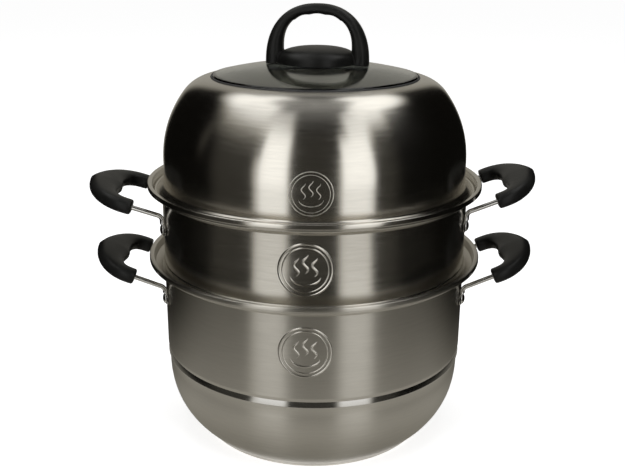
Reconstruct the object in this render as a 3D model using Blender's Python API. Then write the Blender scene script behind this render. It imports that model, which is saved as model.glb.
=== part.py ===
"""Three-tier steamer pot: a soup pot with a steam plate on its inner step, a steamer
tier that stands in the pot's rim, and a domed lid with a glass top.

Metres, +Z up. The origin is the middle of the face that the pot stands on, X runs
through the side handles and -Y is the front."""

import math

import bmesh
import bpy
from mathutils import Matrix, Vector

# Sheet metal, fits and cutting
SHEET = 0.0010
GAP = 0.0003
OVERRUN = 0.006
TURNS = 40
SMALL_TURNS = 20
FINE_TURNS = 8
FILLET_STEPS = 1
FLARE_STEPS = 2
WELD = 0.000001
SMOOTH_ANGLE = math.radians(40)

# Rim that the pot and the tier share: a flat seat, a sloping ledge, an inner wall and
# a rolled lip
SEAT_DEPTH = 0.0128
SEAT_WIDTH = 0.0030
LEDGE_RISE = 0.0046
RIM_FOOT_INSET = 0.0064
RIM_TOP_INSET = 0.0048
RIM_TOP_DROP = 0.0008
LIP_DROP = 0.0050
LIP_CURL = 0.0022
RIM_FILLET = 0.0010
NECK_FILLET = 0.0015

# Pot
POT_HEIGHT = 0.1973
POT_WALL_RADIUS = 0.1606
POT_RIM_WIDTH = 0.0156
STEP_TOP = 0.0946
STEP_BOTTOM = 0.0932
STEP_WIDTH = 0.0013
STEP_FILLET = 0.0012
BAND_BOTTOM = 0.0876
BOWL_TOP = 0.0818
BOWL_INSET = 0.0016
BOWL_DEPTH = 0.1100
BOWL_POWER = 2.39
BOWL_POINTS = 6
FLOOR_FILLET = 0.004

# Bonded base under the pot
BASE_RADIUS = 0.1235
BASE_HEIGHT = 0.0033
BASE_CAP_WALL = 0.0006
BASE_FILLET = 0.0008

# Steam plate
PLATE_FIT = 0.0006
PLATE_SHEET = 0.0010
PLATE_RIM_WIDTH = 0.0060
PLATE_SLOPE_WIDTH = 0.0040
PLATE_DISH = 0.0040
PLATE_FILLET = 0.0015
NOTCH_RADIUS = 0.0062

# Steamer tier
TIER_HEIGHT = 0.0905
TIER_WALL_INSET = 0.0004
TIER_RIM_WIDTH = 0.0148
TIER_BEAD = 0.0014
TIER_BEAD_HEIGHT = 0.0060
TIER_BEAD_FILLET = 0.0012
TIER_NECK_FIT = 0.0010
TIER_NECK_DEPTH = 0.0125
TIER_FLOOR_FILLET = 0.0060

# Steam holes in the plate and in the tier's floor
HOLE_RADIUS = 0.0050
HOLE_RING_STEP = 0.0370
HOLE_RINGS = 3
HOLES_IN_FIRST_RING = 6
HOLE_SIDES = 6

# Lid, its dome as two arcs above a straight wall and a flared foot
LID_FOOT_FIT = 0.0010
LID_FLARE_WIDTH = 0.0101
LID_FOOT_ANGLE = math.radians(45)
LID_FLARE_FILLET = 0.0140
LID_WALL_HEIGHT = 0.0361
SHOULDER_RADIUS = 0.1108
SHOULDER_ANGLE = math.radians(37.7)
CROWN_RADIUS = 0.0374
SHOULDER_POINTS = 4
CROWN_POINTS = 4
CROWN_EDGE_INSET = 0.0506
CROWN_EDGE_FILLET = 0.0008
GLASS_SEAT_DEPTH = 0.0040
GLASS_SEAT_WIDTH = 0.0084

# Glass and its gasket
GASKET_WALL = 0.0013
GASKET_FLOOR = 0.0016
GASKET_STAND = 0.0012
GLASS_THICKNESS = 0.0040
GLASS_RISE = 0.0125
GLASS_FILLET = 0.0010
GLASS_POINTS = 4
GLASS_HOLE_RADIUS = 0.0035

# Lid handle: an arch on a round boss, turned a little on its screw
HANDLE_TURN = math.radians(-10)
HANDLE_OFFSET = 0.0020
ARCH_HALF_WIDTH = 0.0530
ARCH_HEIGHT = 0.0592
ARCH_POWER = 2.29
OPENING_HALF_WIDTH = 0.0353
OPENING_FLOOR = 0.0162
OPENING_HEIGHT = 0.0330
OPENING_POWER = 2.40
ARCH_HALF_DEPTH = 0.0090
ARCH_FOOT_HALF_DEPTH = 0.0125
ARCH_STATIONS = 13
ARCH_SIDES = 10
ARCH_SECTION_POWER = 2.6
ARCH_FOOT_POWER = 4
BOSS_RADIUS = 0.0405
BOSS_HEIGHT = 0.0142
BOSS_EDGE = 0.0030
BOSS_POWER = 2.6
BOSS_POINTS = 5
HANDLE_CLEARANCE = 0.0016
HANDLE_EDGE_CLEARANCE = 0.0006
HOLLOW_RADIUS = 0.0360
HANDLE_BORE_DEPTH = 0.0090

# Lid screw and washers
SCREW_RADIUS = 0.0025
SCREW_HEAD_RADIUS = 0.0048
SCREW_HEAD_HEIGHT = 0.0030
SCREW_CROWN_SHARE = 0.6
SCREW_SIDE_SHARE = 0.6
SCREW_REACH = 0.0075
STEEL_WASHER_RADIUS = 0.0085
STEEL_WASHER_THICKNESS = 0.0010
SOFT_WASHER_RADIUS = 0.0120

# Side handles, each a bent wire with flattened ends and a moulded grip. The grip's start
# and its reach run outwards in the handle's tilted plane from below the rim's edge.
WIRE_RADIUS = 0.0025
WIRE_SIDES = 8
ROUND_POWER = 2
LEG_HALF_SPACING = 0.0500
RIVET_DROP = 0.0412
POT_BEND_RISE = 0.0120
TIER_BEND_RISE = 0.0142
BEND_RADIUS = 0.0060
BEND_POINTS = 3
TAB_HALF_WIDTH = 0.0060
TAB_HALF_THICKNESS = 0.0010
TAB_BELOW = 0.0062
TAB_ABOVE = 0.0055
GRIP_START = 0.0108
GRIP_STRAIGHT = 0.0060
GRIP_POWER = 2.25
GRIP_CURVE_POINTS = 6
GRIP_END_HALF_WIDTH = 0.0085
GRIP_MID_HALF_WIDTH = 0.0175
GRIP_END_HALF_THICKNESS = 0.0075
GRIP_MID_HALF_THICKNESS = 0.0084
GRIP_SIDES = 10
GRIP_SECTION_POWER = 2.8
GRIP_END_ROUND = 0.0012
GRIP_SWELL_POWER = 2
GRIP_END_SHARE = 0.84

# The handles are bent by hand, so each has its own tilt, height and reach
POT_LEFT_TILT = math.radians(20.5)
POT_LEFT_RISE = -0.0013
POT_LEFT_REACH = 0.0448
POT_RIGHT_TILT = math.radians(23.0)
POT_RIGHT_RISE = 0.0007
POT_RIGHT_REACH = 0.0450
TIER_LEFT_TILT = math.radians(17.3)
TIER_LEFT_RISE = -0.0042
TIER_LEFT_REACH = 0.0487
TIER_RIGHT_TILT = math.radians(21.5)
TIER_RIGHT_RISE = 0.0025
TIER_RIGHT_REACH = 0.0442

# Each side handle: its name, the end of X it is on, how far it is bent up, how high its
# bend is above its rivets, how far it sits above the common height, and its reach
POT_HANDLES = (
    ("pot_left", -1, POT_LEFT_TILT, POT_BEND_RISE, POT_LEFT_RISE, POT_LEFT_REACH),
    ("pot_right", 1, POT_RIGHT_TILT, POT_BEND_RISE, POT_RIGHT_RISE, POT_RIGHT_REACH),
)
TIER_HANDLES = (
    ("tier_left", -1, TIER_LEFT_TILT, TIER_BEND_RISE, TIER_LEFT_RISE, TIER_LEFT_REACH),
    ("tier_right", 1, TIER_RIGHT_TILT, TIER_BEND_RISE, TIER_RIGHT_RISE,
     TIER_RIGHT_REACH),
)

# Rivets
RIVET_SHANK_RADIUS = 0.0022
RIVET_HEAD_RADIUS = 0.0055
RIVET_HEAD_HEIGHT = 0.0028
RIVET_TAIL_RADIUS = 0.0046
RIVET_TAIL_HEIGHT = 0.0016
RIVET_TAIL_SHARE = 0.84
RIVET_HEAD_POINTS = 3

# Radii that follow from the sizes above
POT_BORE = POT_WALL_RADIUS - SHEET
POT_RIM_RADIUS = POT_WALL_RADIUS + POT_RIM_WIDTH
TIER_WALL_RADIUS = POT_WALL_RADIUS - TIER_WALL_INSET
TIER_BORE = TIER_WALL_RADIUS - SHEET
TIER_RIM_RADIUS = TIER_WALL_RADIUS + TIER_RIM_WIDTH
LID_FOOT_RADIUS = TIER_RIM_RADIUS - RIM_FOOT_INSET - LID_FOOT_FIT
LID_WALL_RADIUS = LID_FOOT_RADIUS - LID_FLARE_WIDTH
CROWN_EDGE_RADIUS = LID_WALL_RADIUS - CROWN_EDGE_INSET
GLASS_SEAT_RADIUS = CROWN_EDGE_RADIUS - GLASS_SEAT_WIDTH

# Heights that follow from the sizes above
POT_FLOOR = BASE_HEIGHT + GAP + SHEET
POT_SEAT = POT_HEIGHT - SEAT_DEPTH
TIER_PLACE = POT_SEAT + GAP
TIER_SEAT = TIER_HEIGHT - SEAT_DEPTH
LID_PLACE = TIER_PLACE + TIER_SEAT


def clear_scene():
    for old in list(bpy.data.objects):
        bpy.data.objects.remove(old, do_unlink=True)


def make_material(name, colour, roughness, metallic):
    made = bpy.data.materials.new(name)
    made.use_nodes = True
    shader = made.node_tree.nodes["Principled BSDF"]
    shader.inputs["Base Color"].default_value = (*colour, 1.0)
    shader.inputs["Roughness"].default_value = roughness
    shader.inputs["Metallic"].default_value = metallic
    return made


def make_empty(name, height, parent):
    empty = bpy.data.objects.new(name, None)
    bpy.context.scene.collection.objects.link(empty)
    empty.location = (0, 0, height)
    empty.parent = parent
    return empty


def make_object(name, bm, finish, parent):
    """Turn a bmesh into a named, smooth-shaded object under its body's empty."""
    bmesh.ops.remove_doubles(bm, verts=bm.verts, dist=WELD)
    bmesh.ops.recalc_face_normals(bm, faces=bm.faces)
    mesh = bpy.data.meshes.new(name)
    bm.to_mesh(mesh)
    bm.free()
    mesh.shade_smooth()
    mesh.set_sharp_from_angle(angle=SMOOTH_ANGLE)
    mesh.materials.append(finish)
    made = bpy.data.objects.new(name, mesh)
    bpy.context.scene.collection.objects.link(made)
    made.parent = parent
    return made


def make_cutter(name, bm, parent):
    """A cutter is kept as a wire outline and isn't part of the object."""
    cutter = make_object(name, bm, bpy.data.materials["stainless"], parent)
    cutter.hide_render = True
    cutter.display_type = "WIRE"
    return cutter


def combine(target, other, operation):
    joint = target.modifiers.new(operation.lower(), "BOOLEAN")
    joint.operation = operation
    joint.solver = "EXACT"
    joint.object = other


def unit_power(value, power):
    """Signed power, for the rounded-square curves."""
    return math.copysign(abs(value) ** (2 / power), value)


def rounded_path(corners, steps):
    """Points of a path through (r, z, fillet) corners, with an arc at each fillet."""
    points = []
    for index, (r, z, fillet) in enumerate(corners):
        here = Vector((r, z))
        if not fillet or index in (0, len(corners) - 1):
            points.append(here)
            continue
        back = (Vector(corners[index - 1][:2]) - here).normalized()
        ahead = (Vector(corners[index + 1][:2]) - here).normalized()
        half = back.angle(ahead) / 2
        centre = here + (back + ahead).normalized() * (fillet / math.sin(half))
        start = here + back * (fillet / math.tan(half)) - centre
        end = here + ahead * (fillet / math.tan(half)) - centre
        sweep = start.angle_signed(end)
        for step in range(steps + 1):
            points.append(centre + Matrix.Rotation(-sweep * step / steps, 2) @ start)
    return points


def offset_path(points, distance):
    """The path moved to its right by a wall's thickness, mitred at its corners."""
    moved = []
    last = len(points) - 1
    for index, point in enumerate(points):
        before = (point - points[index - 1]).normalized() if index else None
        after = (points[index + 1] - point).normalized() if index < last else None
        normals = [Vector((way.y, -way.x)) for way in (before, after) if way is not None]
        mean = sum(normals, Vector((0, 0))).normalized()
        moved.append(point + mean * (distance / mean.dot(normals[0])))
    return moved


def revolve(points, turns, closed):
    """Turn a profile of (r, z) points about Z into a bmesh."""
    bm = bmesh.new()
    verts = [bm.verts.new((point[0], 0, point[1])) for point in points]
    for first, second in zip(verts, verts[1:]):
        bm.edges.new((first, second))
    if closed:
        bm.edges.new((verts[-1], verts[0]))
    bmesh.ops.spin(bm, geom=bm.verts[:] + bm.edges[:], axis=(0, 0, 1), cent=(0, 0, 0),
                   angle=math.tau, steps=turns, use_merge=True)
    return bm


def revolve_sheet(path, wall, turns):
    """Turn a sheet-metal path, whose other skin lies to its right, into a shell."""
    loop = list(path) + offset_path(path, wall)[::-1]
    on_axis = path[0].x < WELD
    return revolve(loop, turns, closed=not on_axis)


def loft(rings, capped=True):
    """Join rings of points into a capped tube, or into one that closes on itself."""
    bm = bmesh.new()
    loops = [[bm.verts.new(point) for point in ring] for ring in rings]
    if capped:
        bm.faces.new(loops[0])
        bm.faces.new(loops[-1])
    else:
        loops.append(loops[0])
    for near, far in zip(loops, loops[1:]):
        for index, vert in enumerate(near):
            bm.faces.new((near[index - 1], vert, far[index], far[index - 1]))
    return bm


def ring_points(centre, across, through, half_width, half_thickness, sides,
                power=ROUND_POWER):
    """A rounded section: across and through are its two directions."""
    points = []
    for side in range(sides):
        angle = math.tau * (side + 0.5) / sides
        points.append(centre
                      + across * (half_width * unit_power(math.cos(angle), power))
                      + through * (half_thickness * unit_power(math.sin(angle), power)))
    return points


def cylinder(bm, radius, low, high, centre, sides):
    """Add an upright cylinder with its middle line through centre."""
    place = Matrix.Translation((centre[0], centre[1], (low + high) / 2))
    bmesh.ops.create_cone(bm, cap_ends=True, segments=sides, radius1=radius,
                          radius2=radius, depth=high - low, matrix=place)


def rim_corners(top, bore, rim_radius):
    """The shared rim, from the wall's inner skin out to the end of the rolled lip."""
    seat = top - SEAT_DEPTH
    foot = rim_radius - RIM_FOOT_INSET
    return [
        (bore, seat, NECK_FILLET),
        (bore + SEAT_WIDTH, seat, 0),
        (foot, seat + LEDGE_RISE, 0),
        (rim_radius - RIM_TOP_INSET, top - RIM_TOP_DROP / 2, RIM_TOP_DROP),
        (rim_radius, top, RIM_FILLET),
        (rim_radius, top - LIP_DROP, RIM_FILLET),
        (rim_radius - LIP_CURL, top - LIP_DROP, 0),
    ]


def ledge_slope(bore, rim_radius):
    """Rise of the rim's sloping ledge for each unit outwards."""
    return LEDGE_RISE / (rim_radius - RIM_FOOT_INSET - bore - SEAT_WIDTH)


def hole_cutter(name, low, high, parent):
    """All the steam holes of one plate, in rings, as one cutter."""
    bm = bmesh.new()
    cylinder(bm, HOLE_RADIUS, low, high, (0, 0), HOLE_SIDES)
    for ring in range(1, HOLE_RINGS + 1):
        count = ring * HOLES_IN_FIRST_RING
        for index in range(count):
            angle = math.tau * (index + 0.5) / count
            reach = ring * HOLE_RING_STEP
            centre = (reach * math.cos(angle), reach * math.sin(angle))
            cylinder(bm, HOLE_RADIUS, low, high, centre, HOLE_SIDES)
    return make_cutter(name, bm, parent)


def bowl_points():
    """Inner skin of the pot's bowl, from its floor up to its top."""
    radius = POT_WALL_RADIUS - BOWL_INSET - SHEET
    depth = BOWL_DEPTH - SHEET
    end = math.asin(((BOWL_TOP - POT_FLOOR) / depth) ** (BOWL_POWER / 2))
    points = []
    for step in range(BOWL_POINTS + 1):
        angle = end * (1 - step / BOWL_POINTS)
        points.append((radius * unit_power(math.cos(angle), BOWL_POWER),
                       BOWL_TOP - depth * unit_power(math.sin(angle), BOWL_POWER), 0))
    return points


def pot_shell(steel, body):
    bowl = bowl_points()
    low_r, low_z, _ = bowl[0]
    corners = [(0, POT_FLOOR, 0), (low_r, low_z, FLOOR_FILLET)]
    corners += bowl[1:]
    corners += [
        (POT_BORE - STEP_WIDTH, BAND_BOTTOM, 0),
        (POT_BORE - STEP_WIDTH, STEP_BOTTOM, 0),
        (POT_BORE, STEP_TOP, STEP_FILLET),
    ]
    corners += rim_corners(POT_HEIGHT, POT_BORE, POT_RIM_RADIUS)
    bm = revolve_sheet(rounded_path(corners, FILLET_STEPS), SHEET, TURNS)
    return make_object("pot_shell", bm, steel, body)


def pot_base(steel, core_metal, body):
    """A steel cap pressed over an aluminium core, bonded under the pot's floor."""
    cap = rounded_path([
        (0, BASE_CAP_WALL, 0),
        (BASE_RADIUS - BASE_CAP_WALL, BASE_CAP_WALL, BASE_FILLET / 2),
        (BASE_RADIUS - BASE_CAP_WALL, BASE_HEIGHT, 0),
    ], FILLET_STEPS)
    make_object("pot_base_cap", revolve_sheet(cap, BASE_CAP_WALL, TURNS), steel, body)
    core_radius = BASE_RADIUS - BASE_CAP_WALL - GAP
    bottom = BASE_CAP_WALL + GAP
    core = [(0, bottom), (core_radius - BASE_FILLET, bottom),
            (core_radius, bottom + BASE_FILLET), (core_radius, BASE_HEIGHT),
            (0, BASE_HEIGHT)]
    make_object("pot_base_core", revolve(core, TURNS, closed=False), core_metal, body)


def plate_place():
    """Height of the plate's rim underside, which rests on the pot's sloping step."""
    slope = (STEP_TOP - STEP_BOTTOM) / STEP_WIDTH
    start = POT_BORE - STEP_WIDTH
    outer = POT_BORE - PLATE_FIT
    return STEP_BOTTOM + slope * (outer - start) + GAP * math.hypot(1, slope)


def steam_plate(steel, body):
    """A dished plate with a flat rim, notched to pass the rivets' tails inside the pot.

    Its height is measured from the rim's underside."""
    rim = POT_BORE - PLATE_FIT
    slope_top = rim - PLATE_RIM_WIDTH
    dish = slope_top - PLATE_SLOPE_WIDTH
    corners = [
        (0, PLATE_SHEET - PLATE_DISH, 0),
        (dish, PLATE_SHEET - PLATE_DISH, PLATE_FILLET),
        (slope_top, PLATE_SHEET, PLATE_FILLET),
        (rim, PLATE_SHEET, 0),
    ]
    bm = revolve_sheet(rounded_path(corners, FILLET_STEPS), PLATE_SHEET, TURNS)
    plate = make_object("steam_plate", bm, steel, body)
    holes = hole_cutter("steam_plate_holes", -PLATE_DISH - OVERRUN, OVERRUN, body)
    combine(plate, holes, "DIFFERENCE")
    azimuth = leg_azimuth(POT_WALL_RADIUS)
    notches = bmesh.new()
    for angle in (azimuth, -azimuth, math.pi + azimuth, math.pi - azimuth):
        place = (POT_BORE * math.cos(angle), POT_BORE * math.sin(angle))
        cylinder(notches, NOTCH_RADIUS, -OVERRUN, OVERRUN, place, SMALL_TURNS)
    combine(plate, make_cutter("steam_plate_notches", notches, body), "DIFFERENCE")


def tier_shell(steel, body):
    """The tier, measured from the underside of the bead that rests on the pot's seat."""
    neck = POT_BORE - TIER_NECK_FIT - SHEET
    floor = SHEET - TIER_NECK_DEPTH
    bead = TIER_BORE + TIER_BEAD
    corners = [
        (0, floor, 0),
        (neck, floor, TIER_FLOOR_FILLET),
        (neck, SHEET, 0),
        (bead, SHEET, TIER_BEAD_FILLET),
        (bead, TIER_BEAD_HEIGHT, TIER_BEAD_FILLET),
        (TIER_BORE, TIER_BEAD_HEIGHT + TIER_BEAD, TIER_BEAD_FILLET),
    ]
    corners += rim_corners(TIER_HEIGHT, TIER_BORE, TIER_RIM_RADIUS)
    bm = revolve_sheet(rounded_path(corners, FILLET_STEPS), SHEET, TURNS)
    shell = make_object("tier_shell", bm, steel, body)
    holes = hole_cutter("tier_floor_holes", floor - OVERRUN, floor + OVERRUN, body)
    combine(shell, holes, "DIFFERENCE")
    return shell


def lid_outline():
    """Outer skin of the dome, from the crown's edge down to the top of the wall."""
    points = []
    shoulder_centre = Vector((LID_WALL_RADIUS - SHOULDER_RADIUS, LID_WALL_HEIGHT))
    joint = shoulder_centre + SHOULDER_RADIUS * Vector(
        (math.cos(SHOULDER_ANGLE), math.sin(SHOULDER_ANGLE)))
    crown_centre = joint - CROWN_RADIUS * Vector(
        (math.cos(SHOULDER_ANGLE), math.sin(SHOULDER_ANGLE)))
    edge_angle = math.acos((CROWN_EDGE_RADIUS - crown_centre.x) / CROWN_RADIUS)
    for step in range(CROWN_POINTS):
        angle = edge_angle + (SHOULDER_ANGLE - edge_angle) * step / CROWN_POINTS
        points.append(crown_centre
                      + CROWN_RADIUS * Vector((math.cos(angle), math.sin(angle))))
    for step in range(SHOULDER_POINTS + 1):
        angle = SHOULDER_ANGLE * (1 - step / SHOULDER_POINTS)
        points.append(shoulder_centre
                      + SHOULDER_RADIUS * Vector((math.cos(angle), math.sin(angle))))
    return points


def crown_edge_height():
    return lid_outline()[0].y


def lid_foot_height():
    """Height of the foot's outer corner, whose inner corner rests on the tier's ledge."""
    slope = ledge_slope(TIER_BORE, TIER_RIM_RADIUS)
    inner = LID_FOOT_RADIUS - SHEET * math.sin(LID_FOOT_ANGLE)
    rest = slope * (inner - TIER_BORE - SEAT_WIDTH) + GAP * math.hypot(1, slope)
    return rest + SHEET * math.cos(LID_FOOT_ANGLE)


def lid_shell(steel, body):
    """The lid, measured from the level of the tier's flat seat."""
    edge = crown_edge_height()
    foot = lid_foot_height()
    flare_drop = (LID_FOOT_RADIUS - LID_WALL_RADIUS) * math.tan(LID_FOOT_ANGLE)
    corners = [
        (GLASS_SEAT_RADIUS, edge - GLASS_SEAT_DEPTH, 0),
        (CROWN_EDGE_RADIUS, edge - GLASS_SEAT_DEPTH, CROWN_EDGE_FILLET),
    ]
    corners += [(CROWN_EDGE_RADIUS, edge, 0)]
    corners += [(point.x, point.y, 0) for point in lid_outline()[1:]]
    corners += [
        (LID_WALL_RADIUS, foot + flare_drop, LID_FLARE_FILLET),
        (LID_FOOT_RADIUS, foot, 0),
    ]
    bm = revolve_sheet(rounded_path(corners, FLARE_STEPS), SHEET, TURNS)
    return make_object("lid_shell", bm, steel, body)


def glass_surface(radius, edge_radius, edge_height):
    """Height of the glass dome's outer face at a radius."""
    sphere = (edge_radius ** 2 + GLASS_RISE ** 2) / (2 * GLASS_RISE)
    return (edge_height + GLASS_RISE
            - (sphere - math.sqrt(sphere ** 2 - radius ** 2)))


def lid_glass_sizes():
    """Glass edge radius, and the heights of its underside's and top face's edges."""
    edge = crown_edge_height()
    radius = CROWN_EDGE_RADIUS - GAP - GASKET_WALL - GAP
    under = edge - GLASS_SEAT_DEPTH + GAP + GASKET_FLOOR + GAP
    return radius, under, under + GLASS_THICKNESS


def lid_gasket(rubber, body):
    """An L-shaped ring between the glass and the crown's seat."""
    edge = crown_edge_height()
    floor = edge - GLASS_SEAT_DEPTH + GAP
    outer = CROWN_EDGE_RADIUS - GAP
    inner = outer - GASKET_WALL
    section = [
        (GLASS_SEAT_RADIUS + GAP, floor),
        (outer, floor),
        (outer, edge + GASKET_STAND),
        (inner, edge + GASKET_STAND),
        (inner, floor + GASKET_FLOOR),
        (GLASS_SEAT_RADIUS + GAP, floor + GASKET_FLOOR),
    ]
    make_object("lid_gasket", revolve(section, TURNS, closed=True), rubber, body)


def lid_glass(glass, body):
    """The domed glass, with the hole for the handle's screw."""
    radius, under, top = lid_glass_sizes()
    reaches = [(radius - GLASS_FILLET) * step / GLASS_POINTS
               for step in range(GLASS_POINTS + 1)]
    profile = [(reach, glass_surface(reach, radius, top)) for reach in reaches]
    profile += [(radius, top - GLASS_FILLET), (radius, under + GLASS_FILLET)]
    profile += [(reach, glass_surface(reach, radius, top) - GLASS_THICKNESS)
                for reach in reaches[::-1]]
    pane = make_object("lid_glass", revolve(profile, TURNS, closed=False), glass, body)
    drill = bmesh.new()
    cylinder(drill, GLASS_HOLE_RADIUS, under, top + GLASS_RISE + OVERRUN,
             (HANDLE_OFFSET, 0), SMALL_TURNS)
    combine(pane, make_cutter("lid_glass_hole", drill, body), "DIFFERENCE")


def arch_rings(base):
    """Sections of the lid handle's arch, from one foot over the top to the other."""
    rings = []
    sink = Vector((0, 0, -BOSS_EDGE))
    for step in range(ARCH_STATIONS + 1):
        angle = math.pi * step / ARCH_STATIONS
        cos = math.cos(angle)
        sin = math.sin(angle)
        outer = Vector((ARCH_HALF_WIDTH * unit_power(cos, ARCH_POWER), 0,
                        base + ARCH_HEIGHT * unit_power(sin, ARCH_POWER)))
        inner = Vector((OPENING_HALF_WIDTH * unit_power(cos, OPENING_POWER), 0,
                        base + OPENING_FLOOR
                        + OPENING_HEIGHT * unit_power(sin, OPENING_POWER)))
        if step in (0, ARCH_STATIONS):
            inner.z = outer.z
            rings.append(arch_section(outer + sink, inner + sink, ARCH_FOOT_HALF_DEPTH))
            continue
        depth = ARCH_HALF_DEPTH + (
            ARCH_FOOT_HALF_DEPTH - ARCH_HALF_DEPTH) * cos ** ARCH_FOOT_POWER
        rings.append(arch_section(outer, inner, depth))
    return rings


def arch_section(outer, inner, half_depth):
    across = (outer - inner).normalized()
    return ring_points((outer + inner) / 2, across, Vector((0, 1, 0)),
                       (outer - inner).length / 2, half_depth, ARCH_SIDES,
                       ARCH_SECTION_POWER)


def lid_handle(bakelite, body):
    """The arch and its boss, hollowed to follow the glass, with a blind screw bore."""
    radius, _, top = lid_glass_sizes()
    crown = glass_surface(0, radius, top)
    base = glass_surface(BOSS_RADIUS, radius, top)
    handle = make_object("lid_handle", loft(arch_rings(base)), bakelite, body)
    handle.location = (HANDLE_OFFSET, 0, 0)
    handle.rotation_euler = (0, 0, HANDLE_TURN)
    profile = [(0, base), (BOSS_RADIUS, base)]
    for step in range(BOSS_POINTS):
        angle = math.pi / 2 * step / BOSS_POINTS
        profile.append((BOSS_RADIUS * unit_power(math.cos(angle), BOSS_POWER),
                        base + BOSS_EDGE
                        + BOSS_HEIGHT * unit_power(math.sin(angle), BOSS_POWER)))
    profile.append((0, base + BOSS_EDGE + BOSS_HEIGHT))
    boss = make_cutter("lid_handle_boss", revolve(profile, SMALL_TURNS, closed=False), body)
    boss.location = (HANDLE_OFFSET, 0, 0)
    combine(handle, boss, "UNION")
    hollow = [(0, base - OVERRUN - BOSS_EDGE)]
    hollow.append((ARCH_HALF_WIDTH + OVERRUN, base - OVERRUN - BOSS_EDGE))
    for reach in (ARCH_HALF_WIDTH + OVERRUN, ARCH_HALF_WIDTH, HOLLOW_RADIUS):
        hollow.append((reach, glass_surface(reach, radius, top) + HANDLE_EDGE_CLEARANCE))
    for step in range(GLASS_POINTS + 1):
        reach = HOLLOW_RADIUS * (1 - step / GLASS_POINTS)
        hollow.append((reach, glass_surface(reach, radius, top) + HANDLE_CLEARANCE))
    dish = make_cutter("lid_handle_hollow", revolve(hollow, TURNS, closed=False), body)
    combine(handle, dish, "DIFFERENCE")
    bore = bmesh.new()
    cylinder(bore, SCREW_RADIUS + GAP, crown - OVERRUN,
             crown + HANDLE_CLEARANCE + HANDLE_BORE_DEPTH, (HANDLE_OFFSET, 0), FINE_TURNS)
    combine(handle, make_cutter("lid_handle_bore", bore, body), "DIFFERENCE")


def lid_fastening(steel, rubber, body):
    """A soft washer above the glass, and a steel washer and a screw below it."""
    radius, _, top = lid_glass_sizes()
    crown = glass_surface(0, radius, top)
    bore = SCREW_RADIUS + GAP
    soft_low = crown + GAP
    soft_reach = SOFT_WASHER_RADIUS + HANDLE_OFFSET
    soft_high = glass_surface(soft_reach, radius, top) + HANDLE_CLEARANCE - GAP
    soft = [(bore, soft_low), (SOFT_WASHER_RADIUS, soft_low),
            (SOFT_WASHER_RADIUS, soft_high), (bore, soft_high)]
    washer = revolve(soft, SMALL_TURNS, closed=True)
    make_object("lid_soft_washer", washer, rubber, body).location = (HANDLE_OFFSET, 0, 0)
    steel_reach = STEEL_WASHER_RADIUS + HANDLE_OFFSET
    seat = glass_surface(steel_reach, radius, top) - GLASS_THICKNESS - GAP
    hard = [(bore, seat), (bore, seat - STEEL_WASHER_THICKNESS),
            (STEEL_WASHER_RADIUS, seat - STEEL_WASHER_THICKNESS),
            (STEEL_WASHER_RADIUS, seat)]
    washer = revolve(hard, SMALL_TURNS, closed=True)
    make_object("lid_steel_washer", washer, steel, body).location = (HANDLE_OFFSET, 0, 0)
    head = seat - STEEL_WASHER_THICKNESS - GAP
    screw = [
        (0, head - SCREW_HEAD_HEIGHT),
        (SCREW_HEAD_RADIUS * SCREW_CROWN_SHARE, head - SCREW_HEAD_HEIGHT),
        (SCREW_HEAD_RADIUS, head - SCREW_HEAD_HEIGHT * SCREW_SIDE_SHARE),
        (SCREW_HEAD_RADIUS, head),
        (SCREW_RADIUS, head),
        (SCREW_RADIUS, crown + HANDLE_CLEARANCE + SCREW_REACH),
        (0, crown + HANDLE_CLEARANCE + SCREW_REACH),
    ]
    screw = revolve(screw, FINE_TURNS, closed=False)
    make_object("lid_handle_screw", screw, steel, body).location = (HANDLE_OFFSET, 0, 0)


def leg_azimuth(wall_radius):
    """How far round the wall, from the handle's middle, each leg stands."""
    return math.asin(LEG_HALF_SPACING / (wall_radius + GAP + WIRE_RADIUS))


def handle_frame(wall_radius, rim_radius, tilt, bend_rise):
    """Where a wire leaves its bend and passes the rim, and its plane's two directions."""
    reach = (wall_radius + GAP + WIRE_RADIUS) * math.cos(leg_azimuth(wall_radius))
    start = Vector((reach, -LEG_HALF_SPACING, bend_rise))
    outward = Vector((math.cos(tilt), 0, math.sin(tilt)))
    upward = Vector((-math.sin(tilt), 0, math.cos(tilt)))
    edge = start + outward * ((rim_radius - reach) / outward.x)
    return start, edge, outward, upward


def curve_stations(edge, outward, upward, reach):
    """Places and sideways directions from the grip's end to its outermost point."""
    straight = GRIP_START + GRIP_STRAIGHT
    places = [edge + outward * GRIP_START, edge + outward * straight]
    for step in range(1, GRIP_CURVE_POINTS + 1):
        angle = math.pi / 2 * step / GRIP_CURVE_POINTS
        along = (reach - straight) * unit_power(math.sin(angle), GRIP_POWER)
        place = edge + outward * (straight + along)
        place.y = -LEG_HALF_SPACING * unit_power(math.cos(angle), GRIP_POWER)
        places.append(place)
    stations = [(places[0], Vector((0, 1, 0))), (places[1], Vector((0, 1, 0)))]
    for before, place, after in zip(places[1:], places[2:], places[3:]):
        stations.append((place, upward.cross(after - before).normalized()))
    stations.append((places[-1], -outward))
    return stations


def mirrored(rings):
    """Both halves of a handle: the rings and their mirror images across the X axis."""
    other = []
    for ring in rings[-2::-1]:
        other.append([Vector((point.x, -point.y, point.z)) for point in ring])
    return rings + other


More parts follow.
